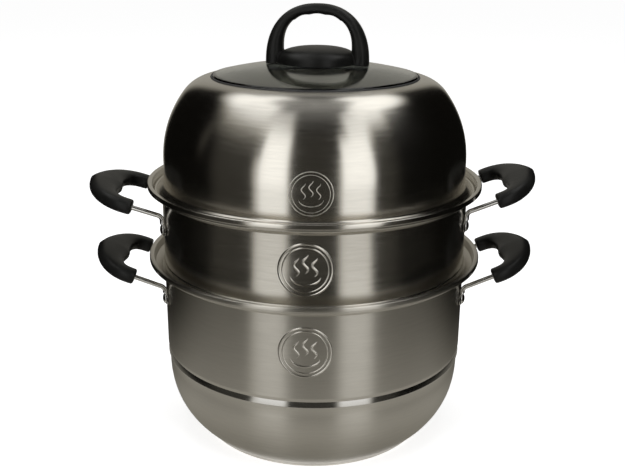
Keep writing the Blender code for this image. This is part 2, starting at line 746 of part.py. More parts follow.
def wire_rings(wall_radius, rim_radius, tilt, bend_rise, reach):
    """The flattened end, the bend and half of the wire's loop."""
    start, edge, outward, upward = handle_frame(wall_radius, rim_radius, tilt, bend_rise)
    azimuth = leg_azimuth(wall_radius)
    radial = Vector((math.cos(azimuth), -math.sin(azimuth), 0))
    tangent = Vector((math.sin(azimuth), math.cos(azimuth), 0))
    tab = radial * (wall_radius + GAP + TAB_HALF_THICKNESS)
    rings = []
    for height in (-TAB_BELOW, TAB_ABOVE):
        rings.append(ring_points(tab + Vector((0, 0, height)), tangent, -radial,
                                 TAB_HALF_WIDTH, TAB_HALF_THICKNESS, WIRE_SIDES))
    turn = math.pi / 2 - tilt
    drop = BEND_RADIUS * math.tan(turn / 2)
    low = start - Vector((0, 0, drop))
    rings.append(ring_points(low, tangent, -radial, WIRE_RADIUS, WIRE_RADIUS, WIRE_SIDES))
    for step in range(1, BEND_POINTS + 1):
        swing = turn * step / BEND_POINTS
        inward = Vector((-math.cos(swing), 0, math.sin(swing)))
        place = low + Vector((BEND_RADIUS, 0, 0)) + inward * BEND_RADIUS
        rings.append(ring_points(place, Vector((0, 1, 0)), inward, WIRE_RADIUS,
                                 WIRE_RADIUS, WIRE_SIDES))
    for place, across in curve_stations(edge, outward, upward, reach):
        rings.append(ring_points(place, across, upward, WIRE_RADIUS, WIRE_RADIUS,
                                 WIRE_SIDES))
    return mirrored(rings)


def grip_mesh(wall_radius, rim_radius, tilt, bend_rise, reach):
    """The moulded grip as one skin: its outside, its bore and the two end faces."""
    _, edge, outward, upward = handle_frame(wall_radius, rim_radius, tilt, bend_rise)
    stations = curve_stations(edge, outward, upward, reach)
    place, across = stations[0]
    outside = [ring_points(place, across, upward, GRIP_END_HALF_WIDTH * GRIP_END_SHARE,
                           GRIP_END_HALF_THICKNESS * GRIP_END_SHARE, GRIP_SIDES,
                           GRIP_SECTION_POWER)]
    bore = []
    for index, (place, across) in enumerate(stations):
        share = (index / (len(stations) - 1)) ** GRIP_SWELL_POWER
        width = GRIP_END_HALF_WIDTH + (GRIP_MID_HALF_WIDTH - GRIP_END_HALF_WIDTH) * share
        thickness = GRIP_END_HALF_THICKNESS + (
            GRIP_MID_HALF_THICKNESS - GRIP_END_HALF_THICKNESS) * share
        shift = Vector((0, 0, 0)) if index else outward * GRIP_END_ROUND
        outside.append(ring_points(place + shift, across, upward, width, thickness,
                                   GRIP_SIDES, GRIP_SECTION_POWER))
        bore.append(ring_points(place, across, upward, WIRE_RADIUS + GAP,
                                WIRE_RADIUS + GAP, GRIP_SIDES))
    return loft(mirrored(outside) + mirrored(bore)[::-1], capped=False)


def rivet_mesh(wall_radius):
    """A rivet from its flat tail, through the wall and the tab, to its domed head."""
    facet = wall_radius * (1 - math.cos(math.pi / TURNS))
    head = GAP + TAB_HALF_THICKNESS * 2 + GAP
    tail = -SHEET - GAP - facet
    profile = [
        (0, tail - RIVET_TAIL_HEIGHT),
        (RIVET_TAIL_RADIUS * RIVET_TAIL_SHARE, tail - RIVET_TAIL_HEIGHT),
        (RIVET_TAIL_RADIUS, tail),
        (RIVET_SHANK_RADIUS, tail),
        (RIVET_SHANK_RADIUS, head),
    ]
    for step in range(RIVET_HEAD_POINTS):
        angle = math.pi / 2 * step / RIVET_HEAD_POINTS
        profile.append((RIVET_HEAD_RADIUS * math.cos(angle),
                        head + RIVET_HEAD_HEIGHT * math.sin(angle)))
    profile.append((0, head + RIVET_HEAD_HEIGHT))
    return revolve(profile, FINE_TURNS, closed=False)


def side_handle(sizes, radii, rim_height, shell, finishes, body):
    """One side handle: its wire, grip and rivets, and the rivet holes in the shell."""
    name, side, tilt, bend_rise, rise, reach = sizes
    wall_radius, rim_radius = radii
    steel, bakelite = finishes
    place = Matrix.Translation((0, 0, rim_height - RIVET_DROP + rise))
    if side < 0:
        place = place @ Matrix.Rotation(math.pi, 4, "Z")
    tube = loft(wire_rings(wall_radius, rim_radius, tilt, bend_rise, reach))
    wire = make_object(name + "_handle_wire", tube, steel, body)
    wire.matrix_local = place
    moulding = grip_mesh(wall_radius, rim_radius, tilt, bend_rise, reach)
    make_object(name + "_handle_grip", moulding, bakelite, body).matrix_local = place
    for end in (-1, 1):
        where = "front" if end == -side else "back"
        spot = place @ Matrix.Rotation(end * leg_azimuth(wall_radius), 4, "Z")
        spot = spot @ Matrix.Translation((wall_radius, 0, 0))
        spot = spot @ Matrix.Rotation(math.pi / 2, 4, "Y")
        rivet = make_object(name + "_rivet_" + where, rivet_mesh(wall_radius), steel, body)
        rivet.matrix_local = spot
        drill = bmesh.new()
        cylinder(drill, RIVET_SHANK_RADIUS + GAP, -OVERRUN, OVERRUN, (0, 0), FINE_TURNS)
        hole = make_cutter(name + "_rivet_hole_" + where, drill, body)
        hole.matrix_local = spot
        combine(wire, hole, "DIFFERENCE")
        combine(shell, hole, "DIFFERENCE")


def main():
    clear_scene()
    steel = make_material("stainless", (0.62, 0.60, 0.57), 0.30, 1.0)
    polished = make_material("polished_steel", (0.72, 0.71, 0.69), 0.12, 1.0)
    bakelite = make_material("black_bakelite", (0.020, 0.020, 0.019), 0.35, 0.0)
    glass = make_material("clear_glass", (0.80, 0.84, 0.82), 0.03, 0.0)
    rubber = make_material("black_silicone", (0.030, 0.030, 0.030), 0.60, 0.0)
    core_metal = make_material("aluminium_core", (0.75, 0.76, 0.77), 0.40, 1.0)
    finishes = (polished, bakelite)

    pot = make_empty("pot_body", 0, None)
    shell = pot_shell(steel, pot)
    pot_base(steel, core_metal, pot)
    radii = (POT_WALL_RADIUS, POT_RIM_RADIUS)
    for sizes in POT_HANDLES:
        side_handle(sizes, radii, POT_HEIGHT, shell, finishes, pot)

    plate = make_empty("steam_plate_body", plate_place(), pot)
    steam_plate(steel, plate)

    tier = make_empty("tier_body", TIER_PLACE, pot)
    shell = tier_shell(steel, tier)
    radii = (TIER_WALL_RADIUS, TIER_RIM_RADIUS)
    for sizes in TIER_HANDLES:
        side_handle(sizes, radii, TIER_HEIGHT, shell, finishes, tier)

    lid = make_empty("lid_body", LID_PLACE - TIER_PLACE, tier)
    lid_shell(steel, lid)
    lid_gasket(rubber, lid)
    lid_glass(glass, lid)
    lid_handle(bakelite, lid)
    lid_fastening(steel, rubber, lid)


main()
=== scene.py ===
"""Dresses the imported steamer: turned shells, moulded handles, glass and their finishes."""

import math

import bmesh
import bpy
from bpy.props import (FloatProperty, FloatVectorProperty, IntProperty,
                       PointerProperty)
from mathutils import Matrix, Vector


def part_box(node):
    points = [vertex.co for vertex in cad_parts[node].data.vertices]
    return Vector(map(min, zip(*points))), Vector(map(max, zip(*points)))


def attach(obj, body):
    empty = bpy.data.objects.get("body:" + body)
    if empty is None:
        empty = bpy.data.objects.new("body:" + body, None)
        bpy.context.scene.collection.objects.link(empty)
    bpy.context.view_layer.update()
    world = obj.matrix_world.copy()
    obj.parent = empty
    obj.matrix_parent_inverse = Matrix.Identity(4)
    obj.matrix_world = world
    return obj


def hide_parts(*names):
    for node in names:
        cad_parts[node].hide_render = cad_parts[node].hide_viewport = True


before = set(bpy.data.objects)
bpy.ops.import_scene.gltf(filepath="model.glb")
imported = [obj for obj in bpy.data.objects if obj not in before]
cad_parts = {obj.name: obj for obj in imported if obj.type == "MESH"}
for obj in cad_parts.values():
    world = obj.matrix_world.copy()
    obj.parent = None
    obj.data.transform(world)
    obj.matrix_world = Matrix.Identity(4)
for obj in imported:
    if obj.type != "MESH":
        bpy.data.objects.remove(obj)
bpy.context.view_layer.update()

bl_info = {
    "name": "Three-tier steamer pot",
    "version": (1, 0, 0),
    "blender": (4, 5, 0),
    "location": "3D View > Sidebar > Steamer",
    "description": "Builds the pot, the steamer tier, the domed lid and their handles",
    "category": "Add Mesh",
}

PICTURE_WIDTH = 625
SENSOR_WIDTH = 36.0
WELD = 0.000001
AXIS_HOLE = 0.0001

# How finely the big round pieces are turned, and their arcs and fillets drawn
ROUND_STEPS = 144
ARC_STEPS = 24
FILLET_STEPS = 5

# Sheet, fits and the parts of the rim that the pot and the tier share
SHEET = 0.0010
GAP = 0.0003
SEAT_DEPTH = 0.0128
SEAT_WIDTH = 0.0030
LEDGE_RISE = 0.0046
RIM_FOOT_INSET = 0.0064
RIM_TOP_INSET = 0.0048
RIM_TOP_DROP = 0.0004
LIP_DROP = 0.0050
LIP_CURL = 0.0022

# Pot and plate: the base cap's sheet, the plate's flat rim and the slope inside it, and
# the height of the tool that cuts its notches
BASE_SHEET = 0.0006
PLATE_RIM = 0.0060
PLATE_SLOPE = 0.0040
NOTCH_TOOL = 0.0200

# Tier: the neck's play in the pot
NECK_FIT = 0.0010

# Lid: the seat under the glass, the bead round the foot, and the glass's fit and edge
GLASS_SEAT_RADIUS = 0.0985
GLASS_SEAT_DROP = 0.0040
HEM_RADIUS = 0.0011
HEM_INSET = 0.0008
HEM_RISE = 0.0004
GLASS_FIT = 0.0019
GLASS_EDGE = 0.0012
SEAL_BORE = 0.0988
SEAL_WALL = 0.0013
SEAL_SHELF = 0.0016

# Lid handle: finger scallops, half its depth at the top and how much more at the feet,
# how far the feet go into the boss, the boss's edge and dome, and the voxels that melt
# arch and boss into one moulding
SCALLOP_REACH = 0.0240
SCALLOP_PITCH = 0.0160
SCALLOP_DEPTH = 0.0009
ARCH_HALF_DEPTH = 0.0090
ARCH_FOOT_SPREAD = 0.0035
ARCH_SINK = 0.0030
BOSS_EDGE = 0.0030
BOSS_DOME = 0.0142
BOSS_LIP = 0.0360
MOULDING_VOXEL = 0.0006

# Screw, washers and rivets
SCREW_CLEARANCE = 0.0028
SCREW_HEAD_RADIUS = 0.0048
SCREW_HEAD_HEIGHT = 0.0030
SCREW_HEAD_DOME = 0.0020
SCREW_RADIUS = 0.0025
THREAD_ROOT = 0.0022
THREADS = 10
RIVET_SHANK = 0.0022
RIVET_SLACK = 0.0005
RIVET_TAIL_HEIGHT = 0.0016

# Each wire's end is a flat tab, drawn through stations of (height from the rivet, share
# of its half width), and then a neck that grows round
TAB_HALF_THICKNESS = 0.0010
TAB_HALF_WIDTH = 0.0060
TAB_STATIONS = ((-0.0062, 0.55), (-0.0058, 0.80), (-0.0048, 0.96),
                (-0.0030, 1.0), (0.0020, 1.0), (0.0035, 0.90))
NECK_STEPS = 5
NECK_LENGTH = 0.0035
BEND_STEPS = 12
GRIP_STRAIGHT = 0.0060
GRIP_END_ROUND = 0.0024
GRIP_END_SHARE = 0.70

# Fullness of the rounded sections and curves, as of the bowl: 2 is an ellipse and more
# is squarer
ELLIPSE = 2.0
TAB_FULLNESS = 2.6
GRIP_FULLNESS = 2.8
GRIP_CURVE_FULLNESS = 2.25
ARCH_FULLNESS = 2.29
OPENING_FULLNESS = 2.40
MOULDING_FULLNESS = 2.6

# A pressed ridge: its tip's share of the full width, how far its edges and its root go
# into the wall, and the root's share of the width
RIDGE_TIP = 0.25
RIDGE_EDGE = 0.00002
RIDGE_ROOT = 0.0004
RIDGE_ROOT_SHARE = 0.8

# Side handles: name, side of the X axis, tilt, height of the bend, rise above the common
# height, and reach past the rim
POT_HANDLES = (
    ("pot_left", -1, math.radians(20.5), 0.0120, -0.0013, 0.0448),
    ("pot_right", 1, math.radians(23.0), 0.0120, 0.0007, 0.0450),
)
TIER_HANDLES = (
    ("tier_left", -1, math.radians(17.3), 0.0142, -0.0042, 0.0487),
    ("tier_right", 1, math.radians(21.5), 0.0142, 0.0025, 0.0442),
)

# The studio's tent of soft and dark panels, which only steel and glass reflect. Its
# section runs out along the table, up a wall and in over the top, as (radius, height).
# Its table part is a grey sheet over the white floor: painted shade of the floor in
# reflections.
FLOOR_LEVEL = -0.0012
FLOOR_RADIUS = 9.0
TENT_SECTION = ((0.13, -0.0006), (0.80, -0.0006), (0.80, 1.00), (0.45, 1.45),
                (0.02, 1.50))
TENT_TURNS = 240
TENT_ROWS = 72
TENT_DARK = 0.004
# How much green and blue its dim places lose, the blue of its bright ones, and where
# along the section the overhead part starts, whose dim places lose a fifth of that
DIM_GREEN_LOSS = 0.06
DIM_BLUE_LOSS = 0.20
BRIGHT_BLUE = 0.985
OVERHEAD_START = 1.6
OVERHEAD_FADE = 0.4
OVERHEAD_LOSS = 0.2
# Each panel: name, first and last azimuth from the front in degrees and their fade,
# first and last place along the section in metres and their two fades, and its level
PANELS = (
    # The two table panels are painted floor light and shade that only reflections show: dim
    # next to the pot as a painted contact shadow, lighter in front as painted light on the
    # floor
    ("table", -200, 200, 1, -0.10, 0.22, 0.05, 0.24, 0.26),
    ("front_table", -95, 95, 50, 0.06, 0.24, 0.10, 0.26, 0.52),
    ("front_grey", -72, 56, 14, 0.45, 1.70, 0.20, 0.30, 0.040),
    ("left_grey", -86, -40, 8, 1.45, 2.00, 0.40, 0.20, 0.30),
    ("left_edge", -88, -82, 5, 1.10, 1.70, 0.20, 0.20, 0.05),
    ("top", -200, 200, 1, 2.20, 2.90, 0.24, 0.10, 0.32),
    ("front_top", -24, 28, 10, 1.95, 2.35, 0.45, 0.10, 0.24),
    ("left_overhead", -162, -54, 14, 1.80, 2.30, 0.26, 0.26, 1.55),
    ("left_near", -98, -42, 14, 1.72, 2.12, 0.44, 0.30, 1.30),
    ("right_overhead", 56, 160, 10, 1.82, 2.34, 0.20, 0.16, 1.62),
    ("right_near", 39, 66, 8, 1.68, 2.16, 0.36, 0.16, 1.35),
    ("left_shoulder", -44, -20, 8, 1.50, 2.05, 0.30, 0.30, 0.78),
    ("right_shoulder", 26, 44, 8, 1.40, 2.00, 0.20, 0.30, 1.12),
    ("left_back", -200, -148, 12, 0.50, 2.00, 0.20, 0.20, 0.36),
    ("right_back", 152, 200, 8, 0.50, 2.00, 0.20, 0.20, 0.36),
    ("left_foot", -40, -17, 4, 0.34, 1.20, 0.20, 0.20, 0.70),
    ("right_foot", 16, 37, 4, 0.34, 1.20, 0.20, 0.20, 0.70),
    ("left_strip", -36, -17, 3, 0.76, 1.62, 0.36, 0.36, 1.52),
    ("right_strip", 18, 39.5, 3, 0.76, 1.52, 0.36, 0.30, 1.50),
)
# Lamps, which light the object and which no reflection shows: name, place, size, share
# of the lamps' power
LAMPS = (
    ("left_lamp", (-1.3, -1.6, 1.6), 1.1, 1.0),
    ("right_lamp", (1.3, -1.6, 1.6), 1.1, 1.0),
    ("top_lamp", (0.0, 0.3, 2.4), 1.6, 1.2),
)
LAMP_AIM = Vector((0, 0, 0.2))


def length(name, description, default):
    return FloatProperty(name=name, description=description, default=default,
                         min=0.0, precision=5, unit="LENGTH")


def angle_of(name, description, degrees):
    return FloatProperty(name=name, description=description, subtype="ANGLE",
                         default=math.radians(degrees))


def colour(name, description, default):
    return FloatVectorProperty(name=name, description=description, default=default,
                               size=3, min=0.0, max=1.0, subtype="COLOR")


class PotSizes(bpy.types.PropertyGroup):
    height: length("Height", "Top of the pot's rim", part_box("pot_shell")[1].z)
    wall_radius: length("Wall radius", "Outside of the straight wall", 0.1606)
    rim_radius: length("Rim radius", "Outside of the rolled rim",
                       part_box("pot_shell")[1].y)
    step_top: length("Step top", "Height where the wall starts to step in", 0.0968)
    step_bottom: length("Step bottom", "Height of the polished band's top", 0.0932)
    step_width: length("Step width", "How far the wall steps in", 0.0013)
    band_bottom: length("Band bottom", "Lower edge of the polished band", 0.0876)
    band_lean: length("Band lean", "How far the band leans out at its foot", 0.0012)
    bowl_top: length("Bowl top", "Height where the bowl starts to curve in", 0.0818)
    bowl_inset: length("Bowl inset", "How far the bowl's top is inside the wall", 0.0016)
    bowl_depth: length("Bowl depth", "Depth of the bowl's curve", 0.1100)
    bowl_power: FloatProperty(name="Bowl fullness", default=2.39, min=2.0, max=4.0,
                              description="2 is an ellipse, more is squarer")
    floor_height: length("Floor height", "Inner face of the pot's floor", 0.0046)
    base_radius: length("Base radius", "Outside of the bonded base", 0.1235)
    base_height: length("Base height", "Height of the bonded base", 0.0033)


class TierSizes(bpy.types.PropertyGroup):
    height: length("Height", "Top of the tier's rim above its seat", 0.0905)
    place: length("Place", "Height of the tier's seat in the pot", 0.1848)
    wall_radius: length("Wall radius", "Outside of the straight wall", 0.1602)
    rim_radius: length("Rim radius", "Outside of the rolled rim",
                       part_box("tier_shell")[1].y)
    bead: length("Bead", "How far the resting bead stands out", 0.0014)
    bead_height: length("Bead height", "Height of the resting bead", 0.0060)
    neck_depth: length("Neck depth", "How far the neck reaches into the pot", 0.0125)
    hole_radius: length("Hole radius", "Radius of each steam hole", 0.0050)
    hole_step: length("Hole step", "Distance from one ring of holes to the next", 0.0370)
    hole_rings: IntProperty(name="Hole rings", default=3, min=1, max=6,
                            description="Rings of steam holes round the middle one")
    notch_radius: length("Notch radius", "Notches in the steam plate's rim", 0.0062)


class LidSizes(bpy.types.PropertyGroup):
    place: length("Place", "Height of the tier's seat, from which the lid is measured",
                  0.2625)
    wall_radius: length("Wall radius", "Outside of the lid's wall", 0.1575)
    foot_radius: length("Foot radius", "Outside of the flared foot", 0.1676)
    flare_rise: length("Flare rise", "How far the flare rises to the wall", 0.0052)
    wall_height: length("Wall height", "Height where the dome starts", 0.0361)
    shoulder_radius: length("Shoulder radius", "Radius of the dome's big arc", 0.1108)
    crown_radius: length("Crown radius", "Radius of the dome's small arc", 0.0374)
    crown_angle: angle_of("Crown angle", "Slope at which the dome's two arcs meet", 37.7)
    crown_edge: length("Crown edge", "Radius of the opening for the glass", 0.1069)
    glass_rise: length("Glass rise", "Height of the glass's dome", 0.0125)
    glass_thickness: length("Glass thickness", "Thickness of the glass", 0.0040)
    handle_offset: length("Handle offset", "How far the handle sits off the middle",
                          0.0020)
    handle_turn: angle_of("Handle turn", "Turn of the handle round the lid's axis", -10)
    arch_half_width: length("Arch half width", "Half the lid handle's width", 0.0530)
    arch_height: length("Arch height", "Height of the lid handle's arch", 0.0592)
    opening_half_width: length("Opening half width", "Half the opening's width", 0.0353)
    opening_rise: length("Opening rise", "How far the opening is above the boss's foot",
                         0.0162)
    opening_height: length("Opening height", "Height of the opening's arch", 0.0330)
    boss_radius: length("Boss radius", "Radius of the lid handle's boss", 0.0405)


class HandleSizes(bpy.types.PropertyGroup):
    wire_radius: length("Wire radius", "Radius of the bent wire", 0.0025)
    leg_spacing: length("Leg spacing", "Half the distance between the legs", 0.0500)
    rivet_drop: length("Rivet drop", "How far the rivets are below the rim", 0.0412)
    bend_radius: length("Bend radius", "Radius of the wire's bend", 0.0060)
    grip_start: length("Grip start", "Bare wire between the rim and the grip", 0.0108)
    end_half_width: length("End half width", "Half the grip's width at its end", 0.0085)
    mid_half_width: length("Middle half width", "Half its width at the middle", 0.0175)
    end_half_thickness: length("End half thickness", "Half its thickness at the end",
                               0.0075)
    mid_half_thickness: length("Middle half thickness",
                               "Half its thickness at the middle", 0.0084)
    rivet_radius: length("Rivet radius", "Radius of a rivet's domed head", 0.0055)
    rivet_height: length("Rivet height", "Height of a rivet's domed head", 0.0028)


class MedallionSizes(bpy.types.PropertyGroup):
    radius: length("Radius", "Outer ring of the stamped medallions", 0.0250)
    lid_radius: length("Lid radius", "Outer ring of the lid's etched medallion", 0.0200)
    relief: length("Relief", "How far the stamped lines stand out", 0.00055)
    line_width: length("Line width", "Half the width of a stamped line", 0.0011)
    pot_height: length("Pot height", "Height of the pot's medallion", 0.1456)
    tier_height: length("Tier height", "Height of the tier's medallion", 0.2275)
    lid_height: length("Lid height", "Height of the lid's medallion", 0.2983)
    azimuth: angle_of("Azimuth", "Turn of the stamped medallions from the front", -2.7)
    lid_azimuth: angle_of("Lid azimuth", "Turn of the lid's medallion from the front",
                          -1.1)
    lid_relief: length("Lid relief", "How far the lid's etched lines stand out", 0.0001)
    lid_line_width: length("Lid line width", "Half the width of an etched line", 0.00045)


class Finishes(bpy.types.PropertyGroup):
    steel: colour("Steel", "Colour of the brushed steel", (0.63, 0.605, 0.555))
    bright_steel: colour("Bright steel", "Colour of the polished steel",
                         (0.70, 0.69, 0.67))
    bakelite: colour("Bakelite", "Colour of the moulded handles", (0.007, 0.007, 0.0065))
    rubber: colour("Rubber", "Colour of the seal and the soft washer",
                   (0.030, 0.030, 0.030))
    glass: colour("Glass", "Tint of the lid's glass", (0.82, 0.86, 0.84))
    floor: colour("Floor", "Colour of the studio floor", (0.80, 0.80, 0.80))


class StudioSettings(bpy.types.PropertyGroup):
    camera_place: FloatVectorProperty(name="Camera place", size=3, unit="LENGTH",
                                      default=(0.0, -0.9137, 0.5075),
                                      description="Where the camera stands")
    pitch: angle_of("Pitch", "How far the camera looks down", 18.05)
    yaw: angle_of("Yaw", "Turn of the camera to its right", -0.11)
    roll: angle_of("Roll", "Lean of the camera", 0.39)
    focal_pixels: FloatProperty(name="Focal length", default=886.7, min=1.0,
                                description="Focal length in picture pixels")
    fill: FloatProperty(name="Fill light", default=0.45, min=0.0,
                        description="Strength of the surroundings on plain surfaces")
    floor_glow: FloatProperty(name="Floor glow", default=0.62, min=0.0,
                              description="How much of the floor's white is its own")
    lamp_power: FloatProperty(name="Lamp power", default=14.0, min=0.0, unit="POWER",
                              description="Power of each front lamp")


def sizes():
    scene = bpy.context.scene
    return (scene.steamer_pot, scene.steamer_tier, scene.steamer_lid,
            scene.steamer_handles)


def vessels():
    """The two that carry side handles: body, handles, radii of wall and rim, and top."""
    pot, tier, _, _ = sizes()
    return (("pot", POT_HANDLES, (pot.wall_radius, pot.rim_radius), pot.height),
            ("tier", TIER_HANDLES, (tier.wall_radius, tier.rim_radius),
             tier.place + tier.height))


# Curves

def unit_power(value, power):
    """Signed power, for the rounded-square curves."""
    return math.copysign(abs(value) ** (2 / power), value)


def blended(first, second, mix):
    return first + (second - first) * mix


def smooth_step(value):
    """0 up to 0, 1 from 1 on, and a soft rise between."""
    value = min(1.0, max(0.0, value))
    return value * value * (3 - 2 * value)


def rounded_path(corners, steps):
    """Points of a path through (r, z, fillet) corners, with an arc at each fillet."""
    points = []
    for index, (r, z, fillet) in enumerate(corners):
        here = Vector((r, z))
        if not fillet or index in (0, len(corners) - 1):
            points.append(here)
            continue
        back = (Vector(corners[index - 1][:2]) - here).normalized()
        ahead = (Vector(corners[index + 1][:2]) - here).normalized()
        half = back.angle(ahead) / 2
        centre = here + (back + ahead).normalized() * (fillet / math.sin(half))
        start = here + back * (fillet / math.tan(half)) - centre
        end = here + ahead * (fillet / math.tan(half)) - centre
        sweep = start.angle_signed(end)
        for step in range(steps + 1):
            points.append(centre + Matrix.Rotation(-sweep * step / steps, 2) @ start)
    return points


def offset_path(points, distance):
    """The path moved to its right by a wall's thickness, mitred at its corners."""
    moved = []
    last = len(points) - 1
    for index, point in enumerate(points):
        before = (point - points[index - 1]).normalized() if index else None
        after = (points[index + 1] - point).normalized() if index < last else None
        normals = [Vector((way.y, -way.x)) for way in (before, after) if way is not None]
        mean = sum(normals, Vector((0, 0))).normalized()
        moved.append(point + mean * (distance / mean.dot(normals[0])))
    return moved


def raised(loop, height):
    """The loop moved up."""
    return [(point[0], point[1] + height) for point in loop]


def sheet_loop(path, thickness):
    """Both skins of a sheet whose other skin lies to the path's right."""
    loop = list(path) + offset_path(path, thickness)[::-1]
    if path[0].x > AXIS_HOLE:
        loop.append(path[0])
    return loop


def section(centre, across, through, half_width, half_thickness, sides, power):
    """A rounded section: across and through are its two directions."""
    points = []
    for side in range(sides):
        angle = math.tau * (side + 0.5) / sides
        points.append(centre
                      + across * (half_width * unit_power(math.cos(angle), power))
                      + through * (half_thickness * unit_power(math.sin(angle), power)))
    return points


# Modelling

def start_clean():
    """Object mode with nothing selected."""
    if bpy.context.mode != "OBJECT":
        bpy.ops.object.mode_set(mode="OBJECT")
    bpy.ops.object.select_all(action="DESELECT")


def only(piece):
    start_clean()
    piece.select_set(True)
    bpy.context.view_layer.objects.active = piece


def apply_place(piece):
    """Move the piece's place, turn and scale into its mesh."""
    only(piece)
    bpy.ops.object.transform_apply(location=True, rotation=True, scale=True)


def named(name):
    piece = bpy.context.active_object
    piece.name = name
    piece.data.name = name
    return piece


def close_mesh():
    """In edit mode: weld the seam and the poles and turn every face outwards."""
    bpy.ops.mesh.select_all(action="SELECT")
    bpy.ops.mesh.remove_doubles(threshold=WELD)
    bpy.ops.mesh.normals_make_consistent(inside=False)
    bpy.ops.object.mode_set(mode="OBJECT")


def turn_profile(name, profile, steps=ROUND_STEPS):
    """Extrude one point along a profile of (r, z) points and spin it about Z."""
    start_clean()
    first = profile[0]
    bpy.ops.mesh.primitive_plane_add(size=SHEET, enter_editmode=True,
                                     location=(first[0], 0, first[1]))
    piece = named(name)
    bpy.ops.mesh.select_mode(type="VERT")
    bpy.ops.mesh.merge(type="CENTER")
    for before, after in zip(profile, profile[1:]):
        bpy.ops.mesh.extrude_vertices_move(TRANSFORM_OT_translate={
            "value": (after[0] - before[0], 0, after[1] - before[1])})
    bpy.ops.mesh.select_all(action="SELECT")
    bpy.ops.mesh.remove_doubles(threshold=WELD)
    bpy.ops.mesh.spin(steps=steps, angle=math.tau, center=(0, 0, 0), axis=(0, 0, 1),
                      use_auto_merge=True)
    close_mesh()
    apply_place(piece)
    return piece


def ring_order(mesh_in_hand, order):
    """Indices of the new ring's vertices, in the order of the ring it came from."""
    mesh_in_hand.verts.ensure_lookup_table()
    ranks = {index: rank for rank, index in enumerate(order)}
    fresh = [0] * len(order)
    for vert in mesh_in_hand.verts:
        if not vert.select:
            continue
        for edge in vert.link_edges:
            rank = ranks.get(edge.other_vert(vert).index)
            if rank is not None:
                fresh[rank] = vert.index
    return fresh


def place_ring(mesh_in_hand, order, points):
    mesh_in_hand.verts.ensure_lookup_table()
    for index, point in zip(order, points):
        mesh_in_hand.verts[index].co = point


def sweep_rings(name, rings, looped=False):
    """Extrude a ring from station to station, capped or joined into a loop."""
    start_clean()
    sides = len(rings[0])
    fill = "NOTHING" if looped else "NGON"
    bpy.ops.mesh.primitive_circle_add(vertices=sides, radius=SHEET, fill_type=fill,
                                      enter_editmode=True)
    piece = named(name)
    bpy.ops.mesh.select_mode(type="VERT")
    order = list(range(sides))
    place_ring(bmesh.from_edit_mesh(piece.data), order, rings[0])
    for ring in rings[1:]:
        bpy.ops.mesh.extrude_region_move()
        mesh_in_hand = bmesh.from_edit_mesh(piece.data)
        order = ring_order(mesh_in_hand, order)
        place_ring(mesh_in_hand, order, ring)
    bmesh.update_edit_mesh(piece.data)
    if looped:
        bpy.ops.mesh.extrude_region_move()
        mesh_in_hand = bmesh.from_edit_mesh(piece.data)
        place_ring(mesh_in_hand, ring_order(mesh_in_hand, order), rings[0])
        bmesh.update_edit_mesh(piece.data)
    close_mesh()
    return piece


def apply_modifier(piece, kind, **settings):
    modifier = piece.modifiers.new(kind.lower(), kind)
    for key, value in settings.items():
        setattr(modifier, key, value)
    only(piece)
    bpy.ops.object.modifier_apply(modifier=modifier.name)


def carve(piece, tool, operation="DIFFERENCE"):
    """Cut a piece with a tool, or join them, and remove the tool."""
    apply_modifier(piece, "BOOLEAN", operation=operation, solver="EXACT", object=tool)
    bpy.data.objects.remove(tool, do_unlink=True)


def drill(piece, sides, radius, depth, place):
    """Cut a round upright hole into a piece, centred on a place."""
    start_clean()
    bpy.ops.mesh.primitive_cylinder_add(vertices=sides, radius=radius, depth=depth,
                                        location=place)
    carve(piece, bpy.context.active_object)


def merge_pieces(name, parts):
    start_clean()
    for part in parts:
        part.select_set(True)
    bpy.context.view_layer.objects.active = parts[0]
    if len(parts) > 1:
        bpy.ops.object.join()
    return named(name)


def move_mesh(piece, matrix):
    piece.data.transform(matrix)
    piece.data.update()


def settle(piece, finish, body, nodes=(), angle=32):
    """Give the piece its finish and smooth shading, and hang it on its body."""
    apply_place(piece)
    bpy.ops.object.shade_smooth_by_angle(angle=math.radians(angle))
    piece.data.materials.clear()
    piece.data.materials.append(finish_named(finish))
    if nodes:
        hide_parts(*nodes)
    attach(piece, body)


def copy_piece(piece, name):
    twin = piece.copy()
    twin.data = piece.data.copy()
    twin.name = name
    twin.data.name = name
    bpy.context.scene.collection.objects.link(twin)
    return twin


# Finishes

